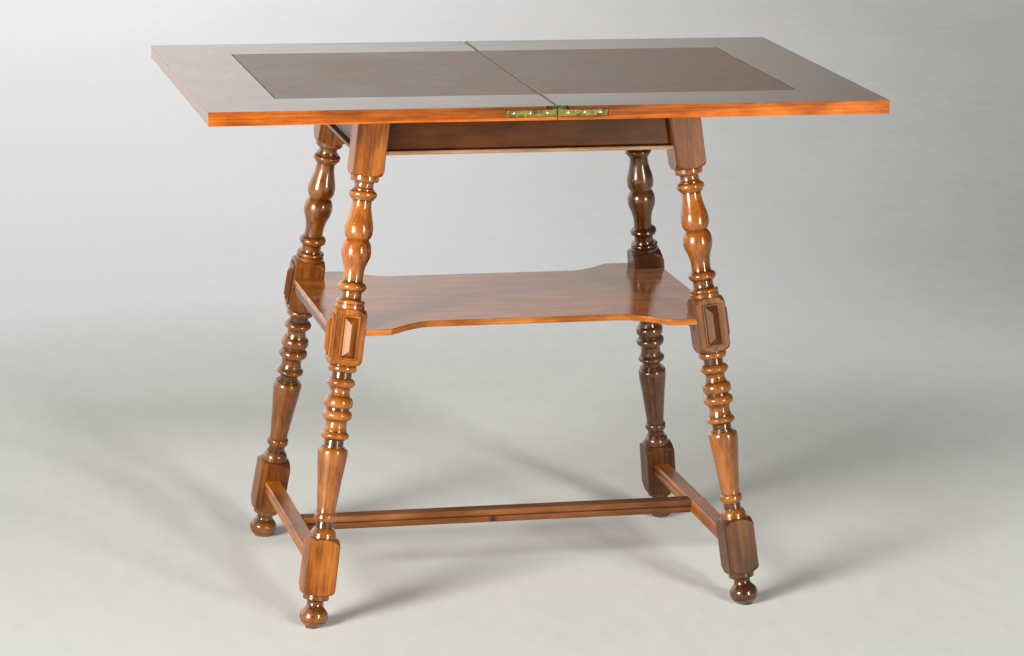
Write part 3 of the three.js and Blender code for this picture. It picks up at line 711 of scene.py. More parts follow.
# %% How the legs have aged, with painted shade
# The right and back legs are darker partly as painted shade.
leg_ages_and_shade = {"front_left": (0.25, 0.0, 1.0), "front_right": (1.0, 0.6, 0.5),
            "back_left": (0.75, 0.55, 1.0), "back_right": (1.0, 1.0, 1.0)}
least_foot_age, block_margin = 0.6, 0.2


def in_block(height):
    """Whether a height along the upright leg, in metres, lies on one of the square blocks."""
    level = height / stretch / mm
    return any(low + block_margin < level < high - block_margin
               for low, high, below, above in blocks)


def leg_age_and_shade(corner, height):
    """How dark a leg is at a height from age and painted shade: the feet most, and turned parts can be
    brighter.
    """
    foot_age_and_shade, top_age_and_shade, turned_share = leg_ages_and_shade[corner]
    age_and_shade = foot_age_and_shade + (top_age_and_shade - foot_age_and_shade) * height / top_height
    if height / stretch / mm < blocks[0][0]:
        return max(age_and_shade, least_foot_age)
    return age_and_shade if in_block(height) else age_and_shade * turned_share


# %% Standing the legs
def saw_level(piece, height, keep_above):
    """Saws a piece off level at a height and closes the cut."""
    with Opened(piece.data) as work:
        result = bmesh.ops.bisect_plane(
            work, geom=work.verts[:] + work.edges[:] + work.faces[:], dist=1e-7,
            plane_co=(0, 0, height), plane_no=(0, 0, -1 if keep_above else 1), clear_outer=True)
        rim = [item for item in result["geom_cut"] if isinstance(item, bmesh.types.BMEdge)]
        bmesh.ops.contextual_create(work, geom=rim)
        bmesh.ops.recalc_face_normals(work, faces=work.faces)


for corner in corner_names:
    leg = added(f"turned_leg_{corner}", upright_leg.data.copy())
    lay_grain(leg, (0, 0, 1), lambda place: leg_age_and_shade(corner, place.z))
    leg.data.transform(leg_place(corner))
    saw_level(leg, 0.0, keep_above=True)
    saw_level(leg, top_height, keep_above=False)
    finish_piece(leg, leg_wood, "base", [f"leg_{corner}"])
    upright = leg_place(corner).inverted()
    paint(leg, [turned_wood], lambda face: 0 if in_block((upright @ face.center).z) else 1)
bpy.data.objects.remove(upright_leg)
print("legs stand at", [f"turned_leg_{corner}" for corner in corner_names])

# %% [markdown]
# ## The bosses
# Each middle block wears a framed, diamond-cut boss on its two outward faces, eight in all.
# The carver made one pattern, so here one boss is modelled and Geometry Nodes put a copy at
# each place. The same tree places the screws later. Its seed is fixed, so the random turn
# and the random shift of the grain come out the same each time.

# %% The tree that places copies
def copies_tree():
    tree, given = node_tree("placed copies", {
        "Copy": "Object", "Finish": "Material", "Random turn": "Float", "Seed": "Int"})
    pattern = put(tree, "GeometryNodeObjectInfo", {"Object": given["Copy"]}, "Geometry")
    placed = put(tree, "GeometryNodeInstanceOnPoints",
                 {"Points": given["Geometry"], "Instance": pattern,
                  "Rotation": named(tree, "facing", "FLOAT_VECTOR")}, "Instances")
    chance = put(tree, "FunctionNodeRandomValue",
                 {2: 0.0, 3: given["Random turn"], "Seed": given["Seed"]}, 1, data_type="FLOAT")
    spin = put(tree, "ShaderNodeCombineXYZ", {"Z": chance}, "Vector")
    spun = put(tree, "GeometryNodeRotateInstances",
               {"Instances": placed, "Rotation": spin, "Local Space": True}, "Instances")
    shift = put(tree, "FunctionNodeRandomValue",
                {0: (0, 0, 0.04), 1: (2, 0.8, 0.16), "Seed": given["Seed"]}, 0,
                data_type="FLOAT_VECTOR")
    marked = keep(spun, "shift", shift, "FLOAT_VECTOR", "INSTANCE")
    plain = put(tree, "GeometryNodeRealizeInstances", {"Geometry": marked}, "Geometry")
    moved = put(tree, "ShaderNodeVectorMath",
                {0: named(tree, "grain", "FLOAT_VECTOR"), 1: named(tree, "shift", "FLOAT_VECTOR")},
                "Vector", operation="ADD")
    close_tree(keep(plain, "grain", moved, "FLOAT_VECTOR"), given["Finish"])
    return tree


placed_copies = copies_tree()


def place_copies(name, pattern, places, material, random_turn, seed):
    """Puts a copy of a pattern at each (point, direction of its top, direction of its length)."""
    mesh = bpy.data.meshes.new(name)
    mesh.from_pydata([point for point, top, length in places], [], [])
    facings = []
    for point, top, length in places:
        up = top.normalized()
        right = length.cross(up).normalized()
        facings.append(Vector(Matrix((right, up.cross(right), up)).transposed().to_euler()))
    store(mesh, "facing", facings, "FLOAT_VECTOR")
    piece = added(name, mesh)
    grow(piece, placed_copies, {"Copy": pattern, "Finish": material,
                                "Random turn": random_turn, "Seed": seed})
    bpy.data.objects.remove(pattern)
    return piece


# %% One boss, and its eight places
boss_width, boss_length = 25 * mm, 61 * mm
boss_rim, boss_rim_height, boss_round = 3.6 * mm, 2.6 * mm, 0.5 * mm
boss_field_height, boss_ridge_height, boss_ridge_width = 1.2 * mm, 7.5 * mm, 0.5 * mm
boss_field_dark_reach, boss_angle = 0.5 * mm, 18
block_middle = Vector((0, 0, (blocks[1][0] + blocks[1][1]) / 2 * stretch * mm))
face_out = block_half + 0.1


def boss_pattern():
    """A boss that lies flat: a raised rim, a sunk field and a hipped diamond cut."""
    # Each ring is this much narrower and shorter than the boss, at this height.
    rim_and_field = [(0, 0), (0, boss_rim_height - boss_round), (2 * boss_round, boss_rim_height),
                     (4.4 * mm, boss_rim_height), (5.8 * mm, boss_field_height + 0.4 * mm),
                     (6.6 * mm, boss_field_height), (2 * boss_rim, boss_field_height)]
    rings = [rectangle(boss_width - less, boss_length - less, height)
             for less, height in rim_and_field]
    rings.append(rectangle(boss_ridge_width, boss_length - boss_width, boss_ridge_height))
    boss = loft("boss pattern", rings)
    # The sunk field is darkened: dirt and painted shade.
    lay_grain(boss, (0, 1, 0), grime=lambda place:
              0.7 if abs(place.z - boss_field_height) < boss_field_dark_reach else 0.0)
    return boss


boss_places = []
for corner in corner_names:
    stand = leg_place(corner)
    foot = leg_lines[corner][0]
    for away in (Vector((math.copysign(1, foot.x), 0, 0)), Vector((0, math.copysign(1, foot.y), 0))):
        point = stand @ (block_middle + away * face_out * mm)
        boss_places.append((point, stand.to_3x3() @ away, stand.to_3x3() @ Vector((0, 0, 1))))
bosses = place_copies("bosses", boss_pattern(), boss_places, leg_wood, random_turn=0.0, seed=3)
for vertex, age_and_shade in zip(bosses.data.vertices, bosses.data.attributes["age_and_shade"].data):
    corner = ("front" if vertex.co.y < 0 else "back") + ("_left" if vertex.co.x < 0 else "_right")
    age_and_shade.value = leg_age_and_shade(corner, vertex.co.z)
boss_nodes = [f"boss_{corner}_{side}" for corner in corner_names for side in ("face", "end")]
finish_piece(bosses, leg_wood, "base", boss_nodes, angle=boss_angle)
print("bosses:", len(boss_places), "copies,", len(bosses.data.vertices), "points")

# %% [markdown]
# ## The frieze
# Four rails join the tops of the legs. They lean as the legs do, and a bead runs along the
# bottom edge. Each is a section carried from leg to leg, and then the square tops of the
# legs are cut out of it with a hair's breadth to spare, which draws the dark line of the
# joint.

# %% Room for the legs
def leg_rooms(clearance):
    """The four leaning squares that the legs' blocks take up, as one cutter."""
    side, past_ends = 2 * (block_half + clearance) * mm, 0.05
    mesh = bpy.data.meshes.new("room for the legs")
    with Opened(mesh) as work:
        for corner, (foot, top) in leg_lines.items():
            stand = leg_place(corner)
            square = loft("square", [[stand @ Vector(point) for point in rectangle(side, side, height)]
                                     for height in (-past_ends, (top - foot).length + past_ends)])
            work.from_mesh(square.data)
            bpy.data.objects.remove(square)
    return added("room for the legs", mesh)


room = leg_rooms(0.2)


def axis_at(height):
    """How far the front left leg's line stands out from the middle at a height."""
    point = first_foot.lerp(first_top, height / top_height)
    return abs(point.x), abs(point.y)


# %% The rails
rail_low, rail_high = (corner.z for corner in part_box("rail_front"))
rail_half = 10 * mm
bead_high, bead_proud, bead_hollow = 6 * mm, 9 * mm, 1.8 * mm
hollow_dark_reach = 0.7 * mm


def rail_section(which):
    """The (out, height) section of a rail, with a round bead and a hollow over it."""
    def out(height):
        return axis_at(height)[which]
    radius = bead_high / 2
    points = [(out(rail_high) - rail_half, rail_high), (out(rail_low) - rail_half, rail_low)]
    nose = out(rail_low) + rail_half + bead_proud - radius
    for step in range(9):
        angle = math.pi * (step / 8 - 0.5)
        points.append((nose + radius * math.cos(angle), rail_low + radius + radius * math.sin(angle)))
    face = out(rail_low + bead_high) + rail_half
    for step in range(5):
        angle = math.pi / 2 * step / 4
        points.append((face + bead_hollow - bead_hollow * math.sin(angle),
                       rail_low + bead_high + bead_hollow - bead_hollow * math.cos(angle)))
    points.append((out(rail_high) + rail_half, rail_high))
    return points


def rail_dirt_and_shade(place):
    """Dirt and painted shade in the hollow over the bead."""
    return 0.45 if abs(place.z - rail_low - bead_high) < hollow_dark_reach else 0.0


def on_bead(face):
    """The round face of the bead, without its level underside."""
    return face.center.z < rail_low + bead_high and abs(face.normal.z) < 0.98


rail_middle = (rail_low + rail_high) / 2
for side, which, sign in (("front", 1, -1), ("back", 1, 1), ("left", 0, -1), ("right", 0, 1)):
    reach = axis_at(rail_middle)[1 - which]
    rail = loft(f"frieze_{side}", [
        [(end, sign * out, height) if which == 1 else (sign * out, end, height)
         for out, height in rail_section(which)] for end in (-reach, reach)])
    cut_away(rail, room)
    lay_grain(rail, (1, 0, 0) if which == 1 else (0, 1, 0), grime=rail_dirt_and_shade)
    finish_piece(rail, rail_wood, "base", [f"rail_{side}"])
    # The bead of the front and back rails is painted pale: partly wear, partly a painted highlight.
    paint(rail, [bead_wear_and_highlight_wood], lambda face: 1 if on_bead(face) and which == 1 else 0)
print("frieze rails: 4, from", round(rail_low / mm, 1), "to", round(rail_high / mm, 1))

# %% [markdown]
# ## The shelf
# The shelf is a thin board. Its front and back come in from ogee shoulders to a waist, and
# each corner is notched round a leg. One quarter of the outline is written, the other three
# are its mirror images, and the edges are rounded before the notches are cut.

# %% The shelf board
shelf_low, shelf_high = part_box("shelf")
shoulder_half, waist_half, waist_deep = 203 * mm, 133 * mm, 143 * mm
ogee_lead, ogee_drop, ogee_reach = 12 * mm, 5 * mm, 33 * mm
notch_overlap, shelf_round = 5 * mm, 1.6 * mm


def ogee_points(start, first, second, end, steps=18):
    """A curve from one point to another that is pulled towards two more."""
    points = []
    for step in range(steps + 1):
        t = step / steps
        points.append(start * (1 - t) ** 3 + first * 3 * t * (1 - t) ** 2
                      + second * 3 * t * t * (1 - t) + end * t ** 3)
    return points


def shelf_outline():
    deep = shelf_high.y
    notch_x, notch_y = (axis - block_half * mm + notch_overlap for axis in axis_at(shelf_high.z))
    quarter = ogee_points(
        Vector((waist_half, waist_deep)), Vector((waist_half + ogee_reach, waist_deep)),
        Vector((shoulder_half - ogee_lead, deep - ogee_drop)), Vector((shoulder_half, deep)))
    right_back = [(p.x, p.y) for p in quarter]
    right_back += [(notch_x, deep), (notch_x, notch_y), (shelf_high.x, notch_y)]
    right_front = [(x, -y) for x, y in right_back[::-1]]
    left_front = [(-x, -y) for x, y in right_back]
    left_back = [(-x, y) for x, y in right_back[::-1]]
    return right_back + right_front + left_front + left_back


shelf = raised("shaped_shelf", shelf_outline(), shelf_low.z, shelf_high.z)
round_edges(shelf, shelf_round, lambda a, b: abs(a.z - b.z) < 1e-6)
cut_away(shelf, room)
lay_grain(shelf, (1, 0, 0))
finish_piece(shelf, shelf_wood, "base", ["shelf"])
print("shelf:", [round(size / mm, 1) for size in shelf.dimensions])

# %% [markdown]
# A bearer under each end of the shelf joins the middle blocks.

# %% Shelf bearers
bearer_round, bearer_darkness = 0.9 * mm, 0.9
for side in ("left", "right"):
    low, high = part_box(f"shelf_bearer_{side}")
    reach = axis_at(high.z)[1]
    bar = bar_between(f"bearer_{side}", Vector((low.x, -reach, low.z)), Vector((high.x, reach, high.z)))
    round_edges(bar, bearer_round, lambda a, b: abs(a.y - b.y) > reach)
    cut_away(bar, room)
    # The bearers are dark all over.
    lay_grain(bar, (0, 1, 0), lambda place: bearer_darkness)
    finish_piece(bar, leg_wood, "base", [f"shelf_bearer_{side}"])

# %% [markdown]
# ## The stretchers
# Three bars make an H near the floor. Their long faces are worked into two reeds with a
# groove between them. This is a section that follows a path, so Geometry Nodes sweep it:
# the path is a straight line between two legs, and the section is an outline of our own.

# %% The stretcher's section
long_low, long_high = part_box("stretcher_long")
stretcher_half = long_high.y
groove = 2.4 * mm


def reeded_section():
    """Two half-round reeds on each side, with flat faces above and below."""
    reed = (long_high.z - long_low.z) / 4
    side = []
    for centre in (-reed, reed):
        for step in range(9):
            lift = reed * math.sin(math.pi * (step / 8 - 0.5))
            bulge = math.sqrt(max(0.0, 1 - (lift / reed) ** 2))
            side.append((stretcher_half - groove + groove * bulge, centre + lift))
    del side[9]
    return side + [(-across, height) for across, height in reversed(side)]


stretcher_section = add_line(
    "stretcher section", [(across, height, 0) for across, height in reeded_section()], True)


def swept_bar_tree():
    tree, given = node_tree("swept bar", {"Section": "Object", "Finish": "Material"})
    close_tree(sweep(tree, given), given["Finish"])
    return tree


# %% The three stretchers
swept_bar = swept_bar_tree()
stretcher_level = (long_low.z + long_high.z) / 2
side_x, side_y = axis_at(stretcher_level)
stretcher_ends = {"left": ((-side_x, -side_y), (-side_x, side_y)),
                  "right": ((side_x, -side_y), (side_x, side_y)),
                  "long": ((long_low.x, 0), (long_high.x, 0))}
knot = Vector((-12 * mm, -stretcher_half, stretcher_level - 5 * mm))
knot_radius, groove_dark_reach = 5 * mm, 0.9 * mm


def stretcher_knot_dirt_and_shade(place):
    """A small knot in the long stretcher, and dirt and painted shade in the grooves of all three."""
    in_groove = abs(place.z - stretcher_level) < groove_dark_reach
    return 0.95 if (place - knot).length < knot_radius else 0.75 if in_groove else 0.0


for side, ends in stretcher_ends.items():
    start, end = (Vector((x, y, stretcher_level)) for x, y in ends)
    bar = add_line(f"reeded_stretcher_{side}", [start.lerp(end, share / 60) for share in range(61)])
    grow(bar, swept_bar, {"Section": stretcher_section, "Finish": leg_wood})
    if side != "long":
        cut_away(bar, room)
    # The stretchers are darker towards the right.
    base_darkness = 0.5 if side == "long" else 0.0
    lay_grain(bar, end - start, lambda place: base_darkness + max(0.0, place.x), stretcher_knot_dirt_and_shade)
    material = low_wood if side == "long" else leg_wood
    finish_piece(bar, material, "base", [f"stretcher_{side}"])
    print(bar.name, [round(size / mm, 1) for size in bar.dimensions])
bpy.data.objects.remove(stretcher_section)

# %% [markdown]
# ## The top
# Each leaf has a border mitred at its two outer corners, a field board, and a leather
# laid in over it. The outer edges are a little rounded by wear. At the joint the top edge
# is rounder, because the two leaves have to clear each other as they fold.

# %% Measures of the top
outer_x, outer_y, top_high = cad_bounds[1]
top_low, inner_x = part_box("lower_leaf_end_border")[0].z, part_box("folding_leaf_end_border")[0].x
joint_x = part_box("folding_leaf_front_border")[0].x
inner_y = -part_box("lower_leaf_front_border")[1].y
joint_round, edge_round, mitre_round = 2.2 * mm, 1.3 * mm, 0.3 * mm
mitre_gap = 0.2 * mm
leaves = {"lower_leaf": -1, "folding_leaf": 1}
print("top, mm:", [round(value / mm, 1) for value in (outer_x, outer_y, inner_x, inner_y, joint_x)])


def at(value, place):
    return abs(value - place) < 0.05 * mm


def border_finish(face):
    """Which finish a border's face has: 1 is faded, on top and at the end, 2 is the joint edge, worn and
    painted pale for sheen.
    """
    at_joint = abs(face.center.x) < joint_x + joint_round and face.normal.z < 0.99
    if at_joint and face.center.z > top_high - joint_round:
        return 2
    at_end = abs(face.normal.x) > 0.9 and not at_joint
    return 1 if face.normal.z > 0.8 or at_end else 0


def round_joint(piece, side, radius):
    """Rounds the top edge of a piece at the joint between the leaves."""
    round_edges(piece, radius, lambda a, b: all(
        at(p.x, side * joint_x) and at(p.z, top_high) for p in (a, b)), segments=5)


def round_border(board, side):
    """Rounds a border's edges: most at the joint, less outside, a touch at the mitres."""
    def on_outside(a, b):
        outside = (all(at(abs(p.y), outer_y) for p in (a, b))
                   or all(at(p.x, side * outer_x) for p in (a, b)))
        return outside and any(all(at(p.z, level) for p in (a, b)) for level in (top_high, top_low))

    round_joint(board, side, joint_round)
    round_edges(board, edge_round, on_outside, segments=4)
    round_edges(board, mitre_round, lambda a, b: at(a.z, top_high) and at(b.z, top_high), segments=1)


# %% [markdown]
# The plates of the hinges lie in pockets in the front and back edges, with a lug that
# rises to the top beside the joint. The pockets are plain boxes, cut once the edges are
# round. The top of each border has faded to a grey brown, and its edge has stayed red.

# %% Hinge pockets
strap_low, strap_high = top_high - 14 * mm, top_high - 5 * mm
strap_length, lug_length, strap_depth = 70 * mm, 14 * mm, 2.5 * mm
link_length, link_depth, link_low = 5.1 * mm, 5.7 * mm, top_high - 5.3 * mm
spare, overrun = 0.7 * mm, 3 * mm


def cut_hinge_pocket(board, side, end):
    """Cuts the room for one plate and for the link behind it."""
    deep, out = outer_y - strap_depth - spare, outer_y + overrun
    near, up = joint_x - overrun, top_high + overrun
    for far, back, low, high in (
            (strap_length + spare, deep, strap_low - spare, strap_high + spare),
            (lug_length + spare, deep, strap_low, up),
            (link_length, outer_y - link_depth, link_low, up)):
        xs, ys = sorted((side * near, side * (joint_x + far))), sorted((end * back, end * out))
        pocket = bar_between("pocket", Vector((xs[0], ys[0], low)), Vector((xs[1], ys[1], high)))
        cut_away(board, pocket)
        bpy.data.objects.remove(pocket)


def border_age(place):
    """The edges have darkened towards the joint, but not at the joint itself."""
    return 0.0 if abs(place.x) < 3 * mm else (1 - abs(place.x) / outer_x) ** 2


# %% Borders
for leaf, side in leaves.items():
    for where, end in (("front", -1), ("back", 1)):
        outline = [(side * joint_x, end * outer_y), (side * outer_x, end * outer_y),
                   (side * inner_x, end * inner_y), (side * joint_x, end * inner_y)]
        board = raised(f"{leaf}_{where}_board", outline, top_low, top_high)
        round_border(board, side)
        cut_hinge_pocket(board, side, end)
        lay_grain(board, (1, 0, 0), border_age)
        finish_piece(board, edge_wood, leaf, [f"{leaf}_{where}_border"])
        paint(board, [faded_wood, joint_wear_and_sheen_wood], border_finish)
    outer, inner = outer_y - mitre_gap, inner_y - mitre_gap
    outline = [(side * outer_x, -outer), (side * outer_x, outer),
               (side * inner_x, inner), (side * inner_x, -inner)]
    board = raised(f"{leaf}_end_board", outline, top_low, top_high)
    round_border(board, side)
    lay_grain(board, (0, 1, 0))
    finish_piece(board, edge_wood, leaf, [f"{leaf}_end_border"])
    paint(board, [faded_wood, joint_wear_and_sheen_wood], border_finish)
print("borders: 6 boards round two leaves")

# %% [markdown]
# The leather is one sheet on each leaf. A narrow strip is marked off round its outer edges
# at the joint with the border, where dirt gathers as a thin dark line, and at the middle
# joint it turns over the rounded edge of the board.

# %% Leather and field boards
rim_width = 1.3 * mm


def leather_sheet(leaf, side):
    """One sheet, rounded over at the joint, with a narrow strip marked off round its edge."""
    sheet = bar_between(f"{leaf}_sheet", *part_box(f"{leaf}_leather"))
    round_joint(sheet, side, joint_round * 0.98)
    with Opened(sheet.data) as work:
        flat = [face for face in work.faces
                if face.normal.z > 0.99 and at(face.calc_center_median().z, top_high)]
        bmesh.ops.inset_region(work, faces=flat, thickness=rim_width, depth=0.0)
    return sheet


def leather_finish(face):
    """Which finish a leather's face has: 1 is the strip round the edge, 2 is the fold, painted pale for
    sheen.
    """
    across, along = abs(face.center.x), abs(face.center.y)
    if across < joint_x + joint_round * 1.6 + rim_width:
        return 2
    return 1 if abs(along - inner_y) < rim_width or leather_edge - across < rim_width else 0


for leaf, side in leaves.items():
    sheet = leather_sheet(leaf, side)
    leather_edge = max(abs(vertex.co.x) for vertex in sheet.data.vertices)
    finish_piece(sheet, leather, leaf, [f"{leaf}_leather"])
    paint(sheet, [leather_rim, leather_fold_with_sheen], leather_finish)
    board = refined(f"{leaf}_field", f"{leaf}_field_board", 0.5 * mm)
    lay_grain(board, (0, 1, 0))
    finish_piece(board, board_wood, leaf, [f"{leaf}_field_board"])

# %% [markdown]
# ## Hinges and pivot
# These parts are small, and their plain solids already have the right outline, so each is a
# copy of its solid with its sharp edges eased. The brass is stained dark beside the joint.
# The screws are one slotted pattern, placed by the tree that placed the bosses, each with
# its slot turned at random.

# %% Plates and links
for leaf in leaves:
    for where in ("front", "back"):
        plate = refined(f"{leaf}_{where}_plate", f"{leaf}_{where}_hinge_plate", 0.3 * mm)
        finish_piece(plate, brass, leaf, [f"{leaf}_{where}_hinge_plate"])
        paint(plate, [dark_brass], lambda face: 1 if abs(face.center.x) < lug_length else 0)
for where in ("front", "back"):
    link = refined(f"link_{where}", f"hinge_link_{where}", 0.2 * mm)
    finish_piece(link, brass, "hinge_links", [f"hinge_link_{where}"])


# %% Screws
def screw_pattern(head, shank, head_height, length, sides=32):
    """A screw that points down, with a domed and slotted head whose top is at zero."""
    profile = [(0.15 * mm, -length), (shank, -length + 2 * shank), (shank, -head_height),
               (head, -head_height), (head, -0.35 * mm), (head * 0.85, -0.12 * mm),
               (head * 0.5, 0), (head * 0.02, 0)]
    angles = [2 * math.pi * step / sides for step in range(sides)]
    screw = loft("screw pattern", [
        [(radius * math.cos(angle), radius * math.sin(angle), height) for angle in angles]
        for radius, height in profile])
    wide, deep = 0.17 * head, 0.45 * head_height
    slot = bar_between("slot", Vector((-2 * head, -wide, -deep)), Vector((2 * head, wide, 1 * mm)))
    cut_away(screw, slot)
    bpy.data.objects.remove(slot)
    return screw


# The radius of the head and of the shank, and the height of the head.
hinge_screw, plate_screw = (2.3 * mm, 1.3 * mm, 2.2 * mm), (3 * mm, 1.6 * mm, 2.4 * mm)
half_turn = math.pi
for leaf in leaves:
    screw_nodes = [f"{leaf}_{where}_hinge_screw_{number}"
                   for where in ("front", "back") for number in (1, 2, 3)]
    screw_places = []
    for node in screw_nodes:
        low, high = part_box(node)
        away = Vector((0, math.copysign(1, low.y), 0))
        point = Vector(((low.x + high.x) / 2, away.y * max(abs(low.y), abs(high.y)),
                        (low.z + high.z) / 2))
        screw_places.append((point, away, Vector((0, 0, 1))))
    pattern = screw_pattern(*hinge_screw, high.y - low.y)
    screws = place_copies(f"{leaf}_hinge_screws", pattern, screw_places, bright_brass,
                          random_turn=half_turn, seed=7)
    finish_piece(screws, bright_brass, leaf, screw_nodes)

# %% The pivot
plate_nodes = ["pivot_plate_screw_1", "pivot_plate_screw_2"]
plate_places = []
for node in plate_nodes:
    low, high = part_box(node)
    point = Vector(((low.x + high.x) / 2, (low.y + high.y) / 2, low.z))
    plate_places.append((point, Vector((0, 0, -1)), Vector((1, 0, 0))))
pattern = screw_pattern(*plate_screw, high.z - low.z)
plate_screws = place_copies("pivot_plate_screws", pattern, plate_places, steel,
                            random_turn=half_turn, seed=5)
finish_piece(plate_screws, steel, "lower_leaf", plate_nodes)
for part, radius in (("bolt", 0.5), ("plate", 0.5), ("washer", 0.25), ("nut", 0.5)):
    node = f"pivot_{part}"
    copy = refined(f"swivel_{part}", node, radius * mm)
    finish_piece(copy, steel, "lower_leaf", [node])
peg = refined("stop_peg_turned", "stop_peg", 1.2 * mm, segments=3)
lay_grain(peg, (0, 0, 1))
finish_piece(peg, leg_wood, "lower_leaf", ["stop_peg"])
rail = refined("pivot_rail_board", "pivot_rail", 1.0 * mm)
lay_grain(rail, (1, 0, 0))
finish_piece(rail, board_wood, "base", ["pivot_rail"])
bpy.data.objects.remove(room)

# %% [markdown]
# ## Floor, light and camera
# The table stands on a plain pale floor that fills the picture. Close to the table the
# floor takes the light and the shadows, and farther away it turns into pale paper that
# glows. The paper has painted shade towards the right, and a painted glow that grows
# farther back and where the paper is seen in reflections. A low softbox at the front left
# and a narrow one at the front right draw the pairs of highlights down the turnings, and
# two distant lamps draw the shadows. The room itself is brightest low down behind, which
# gives the top its sheen.

# %% The floor
def floor_material():
    """A pale floor that turns into glowing paper away from the table, with painted shade on the right
    and a painted glow farther back and in reflections.
    """
    material, tree, shader = blank_material("studio floor")
    place = put(tree, "ShaderNodeTexCoord", {}, "Object")
    parts = put(tree, "ShaderNodeSeparateXYZ", {"Vector": place}).outputs
    from_camera = plus(maths("MAXIMUM", parts["Y"], 0.0), 4.5)
    spread = maths("DIVIDE", parts["X"], from_camera)
    away = mapped(parts["Y"], 0.4, 1.8)
    # side grows towards the right: painted shade, strongest on the far paper and a touch on the near
    # floor.
    side = plus(times(plus(mapped(spread, -0.02, 0.34), -0.5), away), 0.5)
    cloud = plus(noise(place, (1.3, 0.8, 1.0), 4.0), -0.5)
    grain = plus(noise(place, (30, 12, 30), 4.0), -0.5)
    marks = plus(times(cloud, 0.35), times(grain, 0.26))
    near_colour = ramp(plus(times(side, 0.05), marks),
                       (0.0, (0.86, 0.88, 0.83)), (1.0, (0.42, 0.43, 0.40)))
    feed(shader, {"Base Color": near_colour, "Roughness": 0.85, "Specular IOR Level": 0.2})
    # The paper darkens towards the right as painted shade.
    paper_colour_with_painted_shade = ramp(plus(side, times(marks, 0.5)),
                      (0.0, (0.80, 0.79, 0.79)), (1.0, (0.34, 0.335, 0.32)))
    paths = put(tree, "ShaderNodeLightPath", {}).outputs
    # The paper glows brighter where it is seen in reflections, and more farther back: painted light.
    painted_reflection_glow = times(paths["Is Glossy Ray"], mapped(parts["Y"], 0.0, 1.5))
    strength = plus(times(painted_reflection_glow, 0.45), mapped(parts["Y"], 2.0, 6.5, 0.86, 1.14, "LINEAR"))
    paper = put(tree, "ShaderNodeEmission", {"Color": paper_colour_with_painted_shade, "Strength": strength}, "Emission")
    distance = put(tree, "ShaderNodeVectorMath", {0: place}, "Value", operation="LENGTH")
    seen = maths("MAXIMUM", paths["Is Camera Ray"], painted_reflection_glow)
    surface = put(tree, "ShaderNodeMixShader",
                  {0: times(mapped(distance, 0.8, 2.0), seen), 1: shader.outputs["BSDF"], 2: paper}, 0)
    feed(tree.nodes["Material Output"], {"Surface": surface})
    return material


floor_size = 80.0
floor = add_piece("floor", rectangle(floor_size, floor_size, 0), [[0, 1, 2, 3]])
floor.data.materials.append(floor_material())


# %% Lamps
table_middle = Vector((0, 0, 0.4))


def add_lamp(name, kind, travels, energy, colour):
    """A lamp whose light travels one way."""
    lamp = added(name, bpy.data.lights.new(name, kind))
    lamp.data.energy = energy
    lamp.data.color = colour
    lamp.rotation_euler = travels.to_track_quat("-Z", "Y").to_euler()
    return lamp


def softbox(name, place, width, height, power, colour=(1, 1, 1)):
    """A rectangular lamp that faces the middle of the table."""
    lamp = add_lamp(name, "AREA", table_middle - Vector(place), power, colour)
    lamp.data.shape = "RECTANGLE"
    lamp.data.size, lamp.data.size_y = width, height
    lamp.location = place
    lamp.visible_camera = False


def broad_light(name, travels, strength, spread):
    """A distant lamp, so that it falls evenly on the whole floor."""
    lamp = add_lamp(name, "SUN", Vector(travels), strength * math.pi, (1.0, 0.985, 0.96))
    lamp.data.angle = math.radians(spread)
    lamp.visible_glossy = False


softbox("front left", (-4.0, -2.9, 1.0), 1.4, 1.5, 275, (1.0, 0.98, 0.95))
softbox("front right", (2.4, -4.65, 1.0), 0.45, 1.9, 112)
broad_light("key", (0.82, 0.58, -0.52), 0.57, 19)
broad_light("fill", (-0.28, 0.96, -0.42), 0.36, 8)


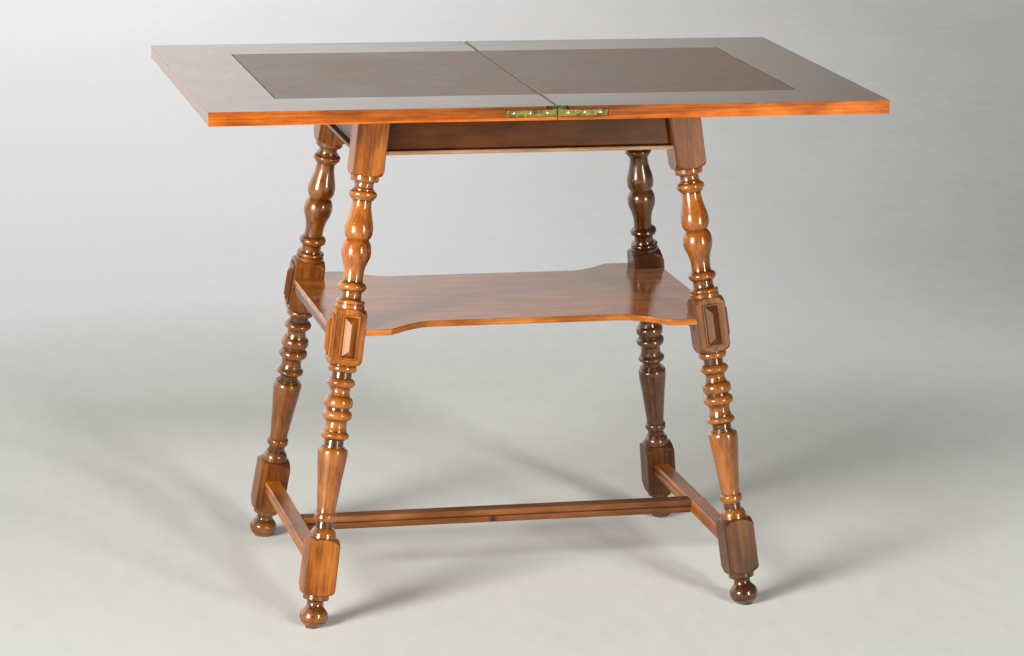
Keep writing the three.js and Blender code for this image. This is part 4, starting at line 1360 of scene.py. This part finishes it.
# %% Light from all round
def studio_world():
    """A pale room, brightest low down behind on the left. The camera sees plain paper."""
    world = bpy.data.worlds.new("studio")
    world.use_nodes = True
    tree = world.node_tree
    toward = put(tree, "ShaderNodeTexCoord", {}, "Generated")

    def glow(direction, edge, centre, strength):
        cosine = put(tree, "ShaderNodeVectorMath", {0: toward, 1: Vector(direction).normalized()},
                     "Value", operation="DOT_PRODUCT")
        return mapped(cosine, edge, centre, 0.0, strength)

    sheen = plus(glow((-0.43, 0.855, 0.28), 0.62, 0.90, 1.68), glow((-0.95, -0.1, 0.5), 0.45, 1.0, 0.5))
    paths = put(tree, "ShaderNodeLightPath", {}).outputs
    light = plus(times(plus(sheen, 0.05), paths["Is Glossy Ray"]), 0.07)
    room = tree.nodes["Background"]
    feed(room, {"Color": (1.0, 0.985, 0.955, 1), "Strength": light})
    paper = put(tree, "ShaderNodeBackground", {"Color": (0.74, 0.73, 0.71, 1)}, 0)
    either = put(tree, "ShaderNodeMixShader",
                 {0: paths["Is Camera Ray"], 1: room.outputs[0], 2: paper}, 0)
    feed(tree.nodes["World Output"], {"Surface": either})
    return world


bpy.context.scene.world = studio_world()

# %% [markdown]
# The camera stands where the photographer stood: a long lens from well back, turned a
# little to the right of straight ahead, looking slightly down, with a touch of roll.

# %% Camera
camera_place = Vector((-1.1044, -4.5434, 1.4987))
yaw, pitch, roll = (math.radians(value) for value in (13.836, 13.632, 1.357))
forward = Vector((math.sin(yaw) * math.cos(pitch), math.cos(yaw) * math.cos(pitch),
                  -math.sin(pitch)))
level = Vector((math.cos(yaw), -math.sin(yaw), 0))
upright = level.cross(forward)
right = math.cos(roll) * level + math.sin(roll) * upright
up = math.cos(roll) * upright - math.sin(roll) * level
camera = added("camera", bpy.data.cameras.new("camera"))
camera.data.sensor_width = 36.0
camera.data.lens = 116.63
camera.matrix_world = Matrix.Translation(camera_place) @ Matrix(
    (right, up, -forward)).transposed().to_4x4()
bpy.context.scene.camera = camera
bpy.context.scene.view_settings.view_transform = "Standard"
